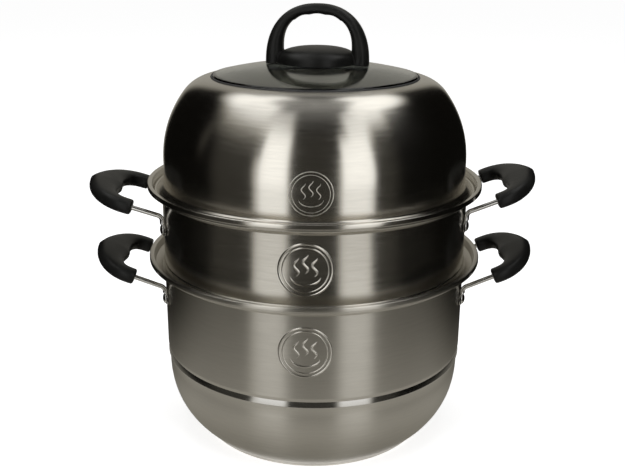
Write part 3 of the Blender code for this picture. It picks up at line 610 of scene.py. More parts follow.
class Finish:
    """A material in the making, with short ways to add and join its nodes."""

    def __init__(self, name):
        self.material = bpy.data.materials.new(name)
        self.material.use_nodes = True
        self.tree = self.material.node_tree
        self.shader = self.tree.nodes["Principled BSDF"]
        self.place = self.add("ShaderNodeTexCoord").outputs["Object"]

    def add(self, kind, **settings):
        node = self.tree.nodes.new(kind)
        for key, value in settings.items():
            setattr(node, key, value)
        return node

    def join(self, source, target):
        self.tree.links.new(source, target)

    def put(self, socket, value):
        if isinstance(value, bpy.types.NodeSocket):
            self.join(value, socket)
        else:
            socket.default_value = value

    def drive(self, name, value):
        """Let a node set one of the shader's sockets."""
        self.join(value, self.shader.inputs[name])

    def constant(self, **numbers):
        for key, number in numbers.items():
            self.shader.inputs[key.replace("_", " ")].default_value = number

    def maths(self, operation, first, second):
        node = self.add("ShaderNodeMath", operation=operation)
        self.put(node.inputs[0], first)
        self.put(node.inputs[1], second)
        return node.outputs[0]

    def weigh(self, first, second, weight):
        """The mean of two values, with that weight on the first."""
        return self.maths("ADD", self.maths("MULTIPLY", first, weight),
                          self.maths("MULTIPLY", second, 1 - weight))

    def vector(self, operation, first, second=(0, 0, 0)):
        node = self.add("ShaderNodeVectorMath", operation=operation)
        self.put(node.inputs[0], first)
        self.put(node.inputs[1], second)
        name = "Value" if operation == "LENGTH" else "Vector"
        return node.outputs[name]

    def split(self, vector):
        node = self.add("ShaderNodeSeparateXYZ")
        self.join(vector, node.inputs[0])
        return node.outputs

    def combine(self, *numbers):
        node = self.add("ShaderNodeCombineXYZ")
        for socket, number in zip(node.inputs, numbers):
            self.join(number, socket)
        return node.outputs[0]

    def noise(self, vector, scale, detail=2.0, roughness=0.5, offset=None):
        dimensions = "4D" if offset is not None else "3D"
        node = self.add("ShaderNodeTexNoise", noise_dimensions=dimensions)
        self.put(node.inputs["Vector"], vector)
        node.inputs["Scale"].default_value = scale
        node.inputs["Detail"].default_value = detail
        node.inputs["Roughness"].default_value = roughness
        if offset is not None:
            self.put(node.inputs["W"], offset)
        return node.outputs[0]

    def spread(self, value, low, high, bottom=0.3, top=0.7):
        """Map a noise's middle range to low and high."""
        node = self.add("ShaderNodeMapRange")
        self.put(node.inputs["Value"], value)
        for key, number in (("From Min", bottom), ("From Max", top), ("To Min", low),
                            ("To Max", high)):
            node.inputs[key].default_value = number
        return node.outputs["Result"]

    def blend(self, factor, first, second):
        node = self.add("ShaderNodeMix", data_type="RGBA")
        self.put(node.inputs["Factor"], factor)
        self.put(node.inputs[6], (*first, 1.0))
        self.put(node.inputs[7], (*second, 1.0))
        return node.outputs[2]

    def paint(self, value, first, second, bottom=0.3, top=0.7):
        """Colour the surface by a noise's middle range, from one colour to another."""
        mix = self.spread(value, 0.0, 1.0, bottom, top)
        self.drive("Base Color", self.blend(mix, first, second))

    def bump(self, height, strength, distance, under=None):
        node = self.add("ShaderNodeBump")
        node.inputs["Strength"].default_value = strength
        node.inputs["Distance"].default_value = distance
        self.put(node.inputs["Height"], height)
        if under is not None:
            self.join(under, node.inputs["Normal"])
        return node.outputs["Normal"]


def tinted(base, factor):
    return tuple(channel * factor for channel in base)


def turned_steel(name, base, roughness, grain, spread=0.06, anisotropy=0.6):
    """Steel brushed round its axis, with streaks, faint stains and fine scratches."""
    finish = Finish(name)
    flat = finish.vector("MULTIPLY", finish.place, (1, 1, 0))
    reach = finish.vector("LENGTH", flat)
    way = finish.vector("NORMALIZE", flat)
    ways = finish.split(way)
    height = finish.split(finish.place)["Z"]
    streaks = []
    for round_scale, line_scale in ((5.0, 420.0), (14.0, 1900.0)):
        spot = finish.combine(finish.maths("MULTIPLY", ways["X"], round_scale),
                              finish.maths("MULTIPLY", ways["Y"], round_scale),
                              finish.maths("MULTIPLY", height, line_scale))
        inward = finish.maths("MULTIPLY", reach, line_scale)
        streaks.append(finish.noise(spot, 1.0, 3.0, 0.65, inward))
    coarse, fine = streaks
    stains = finish.noise(finish.place, 14.0, 3.0, 0.55)
    tone = finish.weigh(finish.weigh(coarse, fine, 0.6), stains, 0.75)
    finish.paint(tone, tinted(base, 1 - spread), tinted(base, 1 + spread))
    finish.drive("Roughness", finish.spread(tone, roughness - 0.05, roughness + 0.05))
    lines = finish.bump(coarse, grain * 0.6, 0.00006)
    finish.drive("Normal", finish.bump(fine, grain, 0.00002, lines))
    finish.drive("Tangent", finish.vector("CROSS_PRODUCT", (0, 0, 1), way))
    finish.constant(Metallic=1.0, Anisotropic=anisotropy, Anisotropic_Rotation=0.25)
    return finish.material


def bright_steel(name, base, roughness):
    """Polished steel with a soft ripple and hairline scratches."""
    finish = Finish(name)
    ripple = finish.noise(finish.place, 160.0, 2.0, 0.5)
    hair = finish.noise(finish.vector("MULTIPLY", finish.place, (1, 1, 6)), 900.0, 3.0)
    finish.paint(hair, tinted(base, 0.92), base)
    finish.drive("Roughness", finish.spread(ripple, roughness * 0.7, roughness * 1.4))
    soft = finish.bump(ripple, 0.15, 0.0002)
    finish.drive("Normal", finish.bump(hair, 0.08, 0.00002, soft))
    finish.constant(Metallic=1.0)
    return finish.material


def moulded_bakelite(name, base):
    """Semi-gloss black moulding with a faint skin texture and greyer wear."""
    finish = Finish(name)
    skin = finish.noise(finish.place, 1400.0, 2.0, 0.6)
    wave = finish.noise(finish.place, 130.0, 2.0, 0.5)
    wear = finish.noise(finish.place, 45.0, 4.0, 0.6)
    finish.paint(wear, base, tinted(base, 1.7), 0.45, 0.75)
    tone = finish.weigh(skin, wear, 0.4)
    finish.drive("Roughness", finish.spread(tone, 0.30, 0.46))
    soft = finish.bump(wave, 0.10, 0.0005)
    finish.drive("Normal", finish.bump(skin, 0.20, 0.00005, soft))
    finish.constant(Specular_IOR_Level=0.22)
    return finish.material


def soft_rubber(name, base):
    """Matt black rubber with a fine skin and a little dust."""
    finish = Finish(name)
    skin = finish.noise(finish.place, 900.0, 3.0, 0.6)
    dust = finish.noise(finish.place, 60.0, 3.0, 0.6)
    finish.paint(dust, base, tinted(base, 1.6))
    finish.drive("Roughness", finish.spread(skin, 0.55, 0.75))
    finish.drive("Normal", finish.bump(skin, 0.25, 0.0001))
    return finish.material


def lid_glass_finish(name, base):
    """Clear tempered glass, faintly green, with the smallest ripple and smears."""
    finish = Finish(name)
    ripple = finish.noise(finish.place, 18.0, 1.0, 0.4)
    smear = finish.noise(finish.place, 30.0, 4.0, 0.6)
    finish.paint(smear, tinted(base, 0.97), base)
    finish.drive("Roughness", finish.spread(smear, 0.0, 0.035, 0.4, 0.8))
    finish.drive("Normal", finish.bump(ripple, 0.04, 0.001))
    finish.constant(Transmission_Weight=1.0, IOR=1.52)
    return finish.material


def plain_aluminium(name):
    """Mill-finished aluminium, streaked one way."""
    finish = Finish(name)
    mill = finish.noise(finish.vector("MULTIPLY", finish.place, (1, 12, 1)), 120.0, 3.0)
    finish.drive("Base Color", finish.blend(mill, (0.70, 0.71, 0.72), (0.80, 0.81, 0.82)))
    finish.drive("Roughness", finish.spread(mill, 0.35, 0.5))
    finish.constant(Metallic=1.0)
    return finish.material


def finish_named(name):
    """The material of that name, made the first time that it is asked for."""
    if name in bpy.data.materials:
        return bpy.data.materials[name]
    colours = bpy.context.scene.steamer_finishes
    steel = tuple(colours.steel)
    bright = tuple(colours.bright_steel)
    makers = {
        "pot_brushed_steel": lambda: turned_steel(
            name, steel, roughness=0.34, grain=0.12, spread=0.09, anisotropy=0.93),
        "tier_brushed_steel": lambda: turned_steel(
            name, steel, roughness=0.22, grain=0.08, spread=0.10, anisotropy=0.85),
        "lid_brushed_steel": lambda: turned_steel(
            name, steel, roughness=0.20, grain=0.08, spread=0.10, anisotropy=0.85),
        "polished_band": lambda: turned_steel(
            name, bright, roughness=0.12, grain=0.02, spread=0.02, anisotropy=0.3),
        "etched_steel": lambda: turned_steel(
            name, tinted(steel, 1.25), roughness=0.5, grain=0.1),
        "wire_steel": lambda: bright_steel(name, bright, roughness=0.14),
        "rivet_steel": lambda: bright_steel(name, bright, roughness=0.20),
        "black_bakelite_skin": lambda: moulded_bakelite(name, tuple(colours.bakelite)),
        "black_rubber": lambda: soft_rubber(name, tuple(colours.rubber)),
        "tempered_glass": lambda: lid_glass_finish(name, tuple(colours.glass)),
        "core_aluminium": lambda: plain_aluminium(name),
    }
    return makers[name]()


# Shapes shared by the operators

def rim_corners(top, bore, rim_radius):
    """The shared rim, from the wall's inner skin out to the end of the rolled lip."""
    seat = top - SEAT_DEPTH
    foot = rim_radius - RIM_FOOT_INSET
    return [
        (bore, seat, 0.0015),
        (bore + SEAT_WIDTH, seat, 0.0012),
        (foot, seat + LEDGE_RISE, 0.0010),
        (rim_radius - RIM_TOP_INSET, top - RIM_TOP_DROP, 0.0012),
        (rim_radius, top, 0.0011),
        (rim_radius, top - LIP_DROP, 0.0010),
        (rim_radius - LIP_CURL, top - LIP_DROP, 0),
    ]


def lid_outline(lid, points):
    """Outer skin of the dome, from the crown's edge down to the top of the wall."""
    angle = lid.crown_angle
    lean = Vector((math.cos(angle), math.sin(angle)))
    shoulder_centre = Vector((lid.wall_radius - lid.shoulder_radius, lid.wall_height))
    crown_centre = shoulder_centre + (lid.shoulder_radius - lid.crown_radius) * lean
    edge = math.acos((lid.crown_edge - crown_centre.x) / lid.crown_radius)
    outline = []
    for step in range(points):
        turn = edge + (angle - edge) * step / points
        outline.append(crown_centre
                       + lid.crown_radius * Vector((math.cos(turn), math.sin(turn))))
    for step in range(points + 1):
        turn = angle * (1 - step / points)
        outline.append(shoulder_centre
                       + lid.shoulder_radius * Vector((math.cos(turn), math.sin(turn))))
    return outline


def glass_height(lid, reach):
    """Height of the glass's outer face at a distance from the middle."""
    edge = lid.crown_edge - GLASS_FIT
    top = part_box("lid_glass")[1].z
    sphere = (edge ** 2 + lid.glass_rise ** 2) / (2 * lid.glass_rise)
    return top - (sphere - math.sqrt(sphere ** 2 - reach ** 2))


def steam_holes(tier, low, high):
    """One tool for all the steam holes of a plate."""
    cutters = []
    for ring in range(tier.hole_rings + 1):
        count = max(1, ring * 6)
        for index in range(count):
            angle = math.tau * (index + 0.5) / count
            reach = ring * tier.hole_step
            start_clean()
            bpy.ops.mesh.primitive_cylinder_add(
                vertices=20, radius=tier.hole_radius, depth=high - low,
                location=(reach * math.cos(angle), reach * math.sin(angle),
                          (low + high) / 2))
            cutters.append(bpy.context.active_object)
    tool = merge_pieces("steam_holes_tool", cutters)
    apply_place(tool)
    return tool


def wall_point(radius_at, azimuth, height):
    """A map from flat (u, v, w) to a turned wall: w is the height above its face."""
    def place(u, v, w):
        z = height + v
        radius = radius_at(z)
        lean = (radius_at(z + SHEET) - radius_at(z - SHEET)) / (2 * SHEET)
        tilt = Vector((1, -lean)).normalized()
        angle = azimuth + u / radius
        out = radius + w * tilt.x
        return Vector((out * math.sin(angle), -out * math.cos(angle), z + w * tilt.y))
    return place


def ridge(name, path, half_width, relief, place, looped=False):
    """A low pressed ridge along a flat path, tapered at its ends unless looped."""
    rings = []
    last = len(path) - 1
    for index, point in enumerate(path):
        before = path[index - 1] if index or looped else point
        after = path[(index + 1) % len(path)] if index < last or looped else point
        along = (after - before).normalized()
        side = Vector((-along.y, along.x))
        from_tip = min(index, last - index) / last
        taper = 1.0 if looped else min(1.0, RIDGE_TIP + 3.0 * from_tip)
        outline = []
        for step in range(9):
            offset = step / 4 - 1
            crest = relief * taper * math.cos(offset * math.pi / 2) ** 2
            outline.append((offset, crest - RIDGE_EDGE))
        outline += [(RIDGE_ROOT_SHARE, -RIDGE_ROOT), (-RIDGE_ROOT_SHARE, -RIDGE_ROOT)]
        spots = [(point + side * (offset * half_width * taper), rise)
                 for offset, rise in outline]
        rings.append([place(spot.x, spot.y, rise) for spot, rise in spots])
    return sweep_rings(name, rings, looped)


def medallion(name, radius, half_width, relief, place):
    """Two rings round three wavy steam lines over a shallow bowl line."""
    parts = []
    for reach_share, width_share, relief_share in ((1.0, 1.0, 1.0), (0.86, 0.65, 0.7)):
        reach = radius * reach_share
        circle = [Vector((reach * math.cos(turn), reach * math.sin(turn)))
                  for turn in (math.tau * step / 96 for step in range(96))]
        parts.append(ridge(name + "_ring", circle, half_width * width_share,
                           relief * relief_share, place, looped=True))
    for column in (-1, 0, 1):
        wave = []
        for step in range(41):
            rise = step / 40
            wave.append(Vector((
                radius * (0.34 * column + 0.09 * math.sin(rise * math.tau * 1.25)),
                radius * (-0.12 + 0.72 * rise - 0.12 * abs(column)))))
        parts.append(ridge(name + "_wave", wave, half_width, relief, place))
    bowl = [Vector((radius * 0.56 * math.cos(turn),
                    radius * (-0.24 + 0.34 * math.sin(turn))))
            for turn in (math.radians(185 + 170 * step / 40) for step in range(41))]
    parts.append(ridge(name + "_bowl", bowl, half_width, relief, place))
    return merge_pieces(name, parts)


def leg_azimuth(handles, wall_radius):
    """How far round the wall, from the handle's middle, each leg stands."""
    return math.asin(handles.leg_spacing / (wall_radius + GAP + handles.wire_radius))


def handle_place(handles, top, side, rise):
    """From a handle's own frame, at its rivets' height, to its side of the vessel."""
    place = Matrix.Translation((0, 0, top - handles.rivet_drop + rise))
    if side < 0:
        place = place @ Matrix.Rotation(math.pi, 4, "Z")
    return place


def handle_frame(handles, radii, tilt, bend_rise):
    """Where a wire leaves its bend and passes the rim, and its plane's two directions."""
    wall_radius, rim_radius = radii
    azimuth = leg_azimuth(handles, wall_radius)
    reach = (wall_radius + GAP + handles.wire_radius) * math.cos(azimuth)
    start = Vector((reach, -handles.leg_spacing, bend_rise))
    outward = Vector((math.cos(tilt), 0, math.sin(tilt)))
    upward = Vector((-math.sin(tilt), 0, math.cos(tilt)))
    edge = start + outward * ((rim_radius - reach) / outward.x)
    return start, edge, outward, upward


def grip_line(handles, edge, outward, upward, reach, points):
    """Places and sideways directions from the grip's end to its outermost point."""
    straight = handles.grip_start + GRIP_STRAIGHT
    places = [edge + outward * (handles.grip_start + GRIP_STRAIGHT * step / 4)
              for step in range(5)]
    for step in range(1, points + 1):
        angle = math.pi / 2 * step / points
        along = (reach - straight) * unit_power(math.sin(angle), GRIP_CURVE_FULLNESS)
        place = edge + outward * (straight + along)
        place.y = -handles.leg_spacing * unit_power(math.cos(angle), GRIP_CURVE_FULLNESS)
        places.append(place)
    line = [(places[0], Vector((0, 1, 0)))]
    for before, place, after in zip(places, places[1:], places[2:]):
        line.append((place, upward.cross(after - before).normalized()))
    line.append((places[-1], -outward))
    return line


def mirrored(rings):
    """Both halves of a handle: the rings and their mirror images across the X axis."""
    other = []
    for ring in rings[-2::-1]:
        other.append([Vector((point.x, -point.y, point.z)) for point in ring])
    return rings + other


def wire_rings(handles, radii, tilt, bend_rise, reach):
    """The flattened end, the bend and half of the wire's loop."""
    sides = 16
    wall_radius = radii[0]
    start, edge, outward, upward = handle_frame(handles, radii, tilt, bend_rise)
    azimuth = leg_azimuth(handles, wall_radius)
    radial = Vector((math.cos(azimuth), -math.sin(azimuth), 0))
    tangent = Vector((math.sin(azimuth), math.cos(azimuth), 0))
    tab = radial * (wall_radius + GAP + TAB_HALF_THICKNESS)
    round_place = radial * (wall_radius + GAP + handles.wire_radius)
    turn = math.pi / 2 - tilt
    low = start - Vector((0, 0, handles.bend_radius * math.tan(turn / 2)))
    rings = []
    for height, width in TAB_STATIONS:
        rings.append(section(tab + Vector((0, 0, height)), tangent, -radial,
                             TAB_HALF_WIDTH * width, TAB_HALF_THICKNESS, sides,
                             TAB_FULLNESS))
    tab_top, tab_share = TAB_STATIONS[-1]
    for step in range(1, NECK_STEPS + 1):
        mix = step / NECK_STEPS
        ease = smooth_step(mix)
        centre = tab.lerp(round_place, ease)
        centre.z = min(tab_top + NECK_LENGTH * mix, low.z)
        half_width = blended(TAB_HALF_WIDTH * tab_share, handles.wire_radius, ease)
        half_thickness = blended(TAB_HALF_THICKNESS, handles.wire_radius, ease)
        rings.append(section(centre, tangent, -radial, half_width, half_thickness, sides,
                             blended(TAB_FULLNESS, ELLIPSE, ease)))
    loop = []
    for step in range(BEND_STEPS + 1):
        mix = step / BEND_STEPS
        inward = Vector((-math.cos(turn * mix), 0, math.sin(turn * mix)))
        place = low + Vector((handles.bend_radius, 0, 0)) + inward * handles.bend_radius
        across = tangent.lerp(Vector((0, 1, 0)), mix).normalized()
        loop.append((place, across, inward))
    loop += [(place, across, upward) for place, across
             in grip_line(handles, edge, outward, upward, reach, 20)]
    for place, across, through in loop:
        rings.append(section(place, across, through, handles.wire_radius,
                             handles.wire_radius, sides, ELLIPSE))
    return mirrored(rings)


def grip_rings(handles, radii, tilt, bend_rise, reach):
    """Half of the moulded grip: rounded end, then its swelling body."""
    sides = 28
    _, edge, outward, upward = handle_frame(handles, radii, tilt, bend_rise)
    line = grip_line(handles, edge, outward, upward, reach, 26)
    place, across = line[0]
    outside = []
    for step in range(5):
        angle = math.pi / 2 * step / 5
        size = blended(GRIP_END_SHARE, 1.0, math.sin(angle))
        shift = GRIP_END_ROUND * (1 - math.cos(angle))
        outside.append(section(place + outward * shift, across, upward,
                               handles.end_half_width * size,
                               handles.end_half_thickness * size, sides, GRIP_FULLNESS))
    last = len(line) - 1
    for index, (place, across) in enumerate(line[3:], start=3):
        mix = (index / last) ** 2
        outside.append(section(
            place, across, upward,
            blended(handles.end_half_width, handles.mid_half_width, mix),
            blended(handles.end_half_thickness, handles.mid_half_thickness, mix),
            sides, GRIP_FULLNESS))
    bore = [section(place, across, upward, handles.wire_radius + GAP,
                    handles.wire_radius + GAP, sides, ELLIPSE) for place, across in line]
    return mirrored(outside) + mirrored(bore)[::-1]


# The studio

def seen_level(tree, plain, seen):
    """One level for what the camera, metal and glass see, another for plain light."""
    path = tree.nodes.new("ShaderNodeLightPath")
    most = path.outputs["Is Camera Ray"]
    for ray in ("Is Glossy Ray", "Is Transmission Ray"):
        highest = tree.nodes.new("ShaderNodeMath")
        highest.operation = "MAXIMUM"
        tree.links.new(most, highest.inputs[0])
        tree.links.new(path.outputs[ray], highest.inputs[1])
        most = highest.outputs[0]
    level = tree.nodes.new("ShaderNodeMapRange")
    tree.links.new(most, level.inputs["Value"])
    level.inputs["To Min"].default_value = plain
    level.inputs["To Max"].default_value = seen
    return level.outputs["Result"]


def cover(value, first, last, first_fade, last_fade):
    """1 inside a panel's edges, fading to 0 across each of them."""
    return (smooth_step((value - first) / first_fade + 0.5)
            * smooth_step((last - value) / last_fade + 0.5))


def tent_level(azimuth, along):
    """How bright the studio's tent is at an azimuth and a place along its section."""
    level = TENT_DARK
    for _, left, right, side_fade, low, high, low_fade, high_fade, bright in PANELS:
        level = blended(level, bright, cover(azimuth, left, right, side_fade, side_fade)
                        * cover(along, low, high, low_fade, high_fade))
    return level


def tent_colour(azimuth, along):
    """The tent's light there, a little warm where it is dim, but less so overhead."""
    level = tent_level(azimuth, along)
    overhead = smooth_step((along - OVERHEAD_START) / OVERHEAD_FADE)
    warmth = (1 - min(1.0, level)) * blended(1.0, OVERHEAD_LOSS, overhead)
    return (level, level * (1 - DIM_GREEN_LOSS * warmth),
            level * (BRIGHT_BLUE - DIM_BLUE_LOSS * warmth), 1)


# Operators

class STEAMER_OT_studio(bpy.types.Operator):
    """Set up the pale floor, the soft light and the camera"""
    bl_idname = "steamer.studio"
    bl_label = "Studio"

    def execute(self, context):
        studio = context.scene.steamer_studio
        context.scene.view_settings.view_transform = "Standard"
        self.camera(context, studio)
        self.world(context, studio)
        self.floor(context, studio)
        self.lights(studio)
        self.tent()
        return {"FINISHED"}

    def camera(self, context, studio):
        start_clean()
        bpy.ops.object.camera_add()
        camera = named("studio_camera")
        camera.data.sensor_width = SENSOR_WIDTH
        camera.data.lens = SENSOR_WIDTH * studio.focal_pixels / PICTURE_WIDTH
        camera.data.clip_start = 0.01
        ahead = Vector((math.sin(studio.yaw) * math.cos(studio.pitch),
                        math.cos(studio.yaw) * math.cos(studio.pitch),
                        -math.sin(studio.pitch)))
        right = Vector((math.cos(studio.yaw), -math.sin(studio.yaw), 0))
        above = right.cross(ahead)
        lean = Matrix.Rotation(-studio.roll, 3, ahead)
        frame_of_view = Matrix((lean @ right, lean @ above, -ahead)).transposed()
        camera.matrix_world = (Matrix.Translation(studio.camera_place)
                               @ frame_of_view.to_4x4())
        context.scene.camera = camera

    def world(self, context, studio):
        world = bpy.data.worlds.new("studio_world")
        context.scene.world = world
        world.use_nodes = True
        tree = world.node_tree
        tree.nodes.clear()
        level = seen_level(tree, studio.fill, 1.0)
        shade = tree.nodes.new("ShaderNodeBackground")
        shade.inputs["Color"].default_value = (1, 1, 1, 1)
        tree.links.new(level, shade.inputs["Strength"])
        output = tree.nodes.new("ShaderNodeOutputWorld")
        tree.links.new(shade.outputs[0], output.inputs["Surface"])

    def floor(self, context, studio):
        start_clean()
        bpy.ops.mesh.primitive_circle_add(vertices=96, radius=FLOOR_RADIUS,
                                          fill_type="TRIFAN",
                                          location=(0, 0, FLOOR_LEVEL))
        floor = named("studio_floor")
        finish = Finish("studio_floor_paint")
        tone = tuple(context.scene.steamer_finishes.floor)
        speckle = finish.noise(finish.place, 40.0, 3.0)
        finish.drive("Base Color", finish.blend(speckle, tinted(tone, 0.985), tone))
        finish.drive("Emission Strength", seen_level(finish.tree, 0.0, studio.floor_glow))
        finish.constant(Roughness=0.9, Specular_IOR_Level=0.0,
                        Emission_Color=(1, 1, 1, 1))
        floor.data.materials.append(finish.material)

    def lights(self, studio):
        for name, place, size, power in LAMPS:
            start_clean()
            bpy.ops.object.light_add(type="AREA", location=place)
            lamp = named(name)
            lamp.data.shape = "SQUARE"
            lamp.data.size = size
            lamp.data.energy = power * studio.lamp_power
            lamp.visible_glossy = False
            aim = LAMP_AIM - Vector(place)
            lamp.rotation_euler = aim.to_track_quat("-Z", "Y").to_euler()

    def tent(self):
        """Soft and dark panels that only reflections show, as in a product studio, and a
        grey table part that is painted shade of the floor, darkest next to the pot.
        """
        start_clean()
        bpy.ops.mesh.primitive_grid_add(x_subdivisions=TENT_TURNS,
                                        y_subdivisions=TENT_ROWS, size=1)
        tent = named("studio_tent")
        places = [Vector(corner) for corner in TENT_SECTION]
        runs = [(after - before).length for before, after in zip(places, places[1:])]
        glow = tent.data.color_attributes.new("glow", "FLOAT_COLOR", "POINT")
        for vert, paint in zip(tent.data.vertices, glow.data):
            azimuth = 360 * vert.co.x
            along = sum(runs) * (vert.co.y + 0.5)
            paint.color = tent_colour(azimuth, along)
            turn = math.radians(azimuth)
            for start, end, run in zip(places, places[1:], runs):
                if along <= run or end == places[-1]:
                    break
                along -= run
            radius, height = start.lerp(end, min(1.0, along / run))
            vert.co = (radius * math.sin(turn), -radius * math.cos(turn), height)
        finish = Finish("studio_tent_paint")
        paint = finish.add("ShaderNodeVertexColor", layer_name="glow")
        shine = finish.add("ShaderNodeEmission")
        finish.join(paint.outputs["Color"], shine.inputs["Color"])
        finish.join(shine.outputs[0],
                    finish.tree.nodes["Material Output"].inputs["Surface"])
        tent.data.materials.append(finish.material)
        tent.visible_camera = False
        tent.visible_diffuse = False
        tent.visible_shadow = False


class STEAMER_OT_pot_shell(bpy.types.Operator):
    """Turn the pot: bowl, polished band, wall and rolled rim"""
    bl_idname = "steamer.pot_shell"
    bl_label = "Pot shell"

    def execute(self, context):
        pot = sizes()[0]
        bore = pot.wall_radius - SHEET
        radius = pot.wall_radius - pot.bowl_inset - SHEET
        depth = pot.bowl_depth - SHEET
        end = math.asin(((pot.bowl_top - pot.floor_height) / depth)
                        ** (pot.bowl_power / 2))
        bowl = []
        for step in range(ARC_STEPS + 1):
            angle = end * (1 - step / ARC_STEPS)
            bowl.append((radius * unit_power(math.cos(angle), pot.bowl_power),
                         pot.bowl_top
                         - depth * unit_power(math.sin(angle), pot.bowl_power), 0))
        band = bore - pot.step_width
        corners = [(0, pot.floor_height, 0), (bowl[0][0], bowl[0][1], 0.0030)]
        corners += bowl[1:]
        corners += [(band + pot.band_lean, pot.band_bottom, 0.0004),
                    (band, pot.step_bottom, 0.0006), (bore, pot.step_top, 0.0040)]
        corners += rim_corners(pot.height, bore, pot.rim_radius)
        loop = sheet_loop(rounded_path(corners, FILLET_STEPS), SHEET)
        piece = turn_profile("pot_body", loop)
        settle(piece, "pot_brushed_steel", "pot", ["pot_shell"])
        piece.data.materials.append(finish_named("polished_band"))
        for face in piece.data.polygons:
            middle = face.center
            if (pot.band_bottom < middle.z < pot.step_bottom
                    and Vector((middle.x, middle.y)).length > bore - SHEET):
                face.material_index = 1
        return {"FINISHED"}


class STEAMER_OT_base(bpy.types.Operator):
    """Turn the bonded base's steel cap and finish its core"""
    bl_idname = "steamer.base"
    bl_label = "Bonded base"

    def execute(self, context):
        pot = sizes()[0]
        inside = pot.base_radius - BASE_SHEET
        path = rounded_path([(0, BASE_SHEET, 0), (inside, BASE_SHEET, 0.0006),
                             (inside, pot.base_height, 0)], FILLET_STEPS)
        piece = turn_profile("base_cap", sheet_loop(path, BASE_SHEET))
        settle(piece, "pot_brushed_steel", "pot", ["pot_base_cap"])
        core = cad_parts["pot_base_core"]
        core.data.materials.clear()
        core.data.materials.append(finish_named("core_aluminium"))
        return {"FINISHED"}


class STEAMER_OT_steam_plate(bpy.types.Operator):
    """Turn the dished steam plate and cut its round holes and its rim's notches"""
    bl_idname = "steamer.steam_plate"
    bl_label = "Steam plate"

    def execute(self, context):
        pot, tier, _, handles = sizes()
        low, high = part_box("steam_plate")
        top = high.z
        dish = low.z + SHEET
        rim = high.y
        path = rounded_path([(0, dish, 0), (rim - PLATE_RIM - PLATE_SLOPE, dish, 0.0030),
                             (rim - PLATE_RIM, top, 0.0030), (rim, top, 0)],
                            FILLET_STEPS)
        piece = turn_profile("perforated_plate", sheet_loop(path, SHEET), 128)
        carve(piece, steam_holes(tier, low.z - SHEET, top + SHEET))
        azimuth = leg_azimuth(handles, pot.wall_radius)
        bore = pot.wall_radius - SHEET
        for angle in (azimuth, -azimuth, math.pi + azimuth, math.pi - azimuth):
            drill(piece, 40, tier.notch_radius, NOTCH_TOOL,
                  (bore * math.cos(angle), bore * math.sin(angle), top))
        settle(piece, "tier_brushed_steel", "steam_plate", ["steam_plate"])
        return {"FINISHED"}


class STEAMER_OT_tier_shell(bpy.types.Operator):
    """Turn the steamer tier: holed floor, neck, bead, wall and rolled rim"""
    bl_idname = "steamer.tier_shell"
    bl_label = "Tier shell"

    def execute(self, context):
        pot, tier, _, _ = sizes()
        bore = tier.wall_radius - SHEET
        neck = pot.wall_radius - SHEET - NECK_FIT - SHEET
        floor = SHEET - tier.neck_depth
        bead = bore + tier.bead
        corners = [(0, floor, 0), (neck, floor, 0.0060), (neck, SHEET, 0.0004),
                   (bead, SHEET, 0.0012), (bead, tier.bead_height, 0.0012),
                   (bore, tier.bead_height + tier.bead, 0.0012)]
        corners += rim_corners(tier.height, bore, tier.rim_radius)
        loop = sheet_loop(rounded_path(corners, FILLET_STEPS), SHEET)
        piece = turn_profile("tier_body", raised(loop, tier.place))
        low = tier.place + floor
        carve(piece, steam_holes(tier, low - 3 * SHEET, low + 2 * SHEET))
        settle(piece, "tier_brushed_steel", "tier", ["tier_shell"])
        return {"FINISHED"}


class STEAMER_OT_lid_dome(bpy.types.Operator):
    """Turn the lid's dome with its glass seat, flared foot and hem"""
    bl_idname = "steamer.lid_dome"
    bl_label = "Lid dome"

    def execute(self, context):
        lid = sizes()[2]
        outline = lid_outline(lid, 20)
        edge = outline[0].y
        seat = edge - GLASS_SEAT_DROP
        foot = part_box("lid_shell")[0].z - lid.place + SHEET * math.cos(math.pi / 4)
        corners = [(GLASS_SEAT_RADIUS, seat, 0), (lid.crown_edge, seat, 0.0008),
                   (lid.crown_edge, edge, 0)]
        corners += [(point.x, point.y, 0) for point in outline[1:]]
        corners += [(lid.wall_radius, foot + lid.flare_rise, 0.0028),
                    (lid.foot_radius, foot, 0)]
        loop = sheet_loop(rounded_path(corners, 8), SHEET)
        dome = turn_profile("lid_dome", raised(loop, lid.place))
        piece = merge_pieces("lid_dome", [dome, self.hem(lid, lid.place + foot)])
        settle(piece, "lid_brushed_steel", "lid", ["lid_shell"])
        return {"FINISHED"}

    def hem(self, lid, foot):
        """The rolled bead round the foot's edge."""
        turns = [math.tau * step / 16 for step in range(17)]
        ring = [(lid.foot_radius - HEM_INSET + HEM_RADIUS * math.cos(turn),
                 HEM_RISE + HEM_RADIUS * math.sin(turn)) for turn in turns]
        return turn_profile("lid_hem", raised(ring, foot))


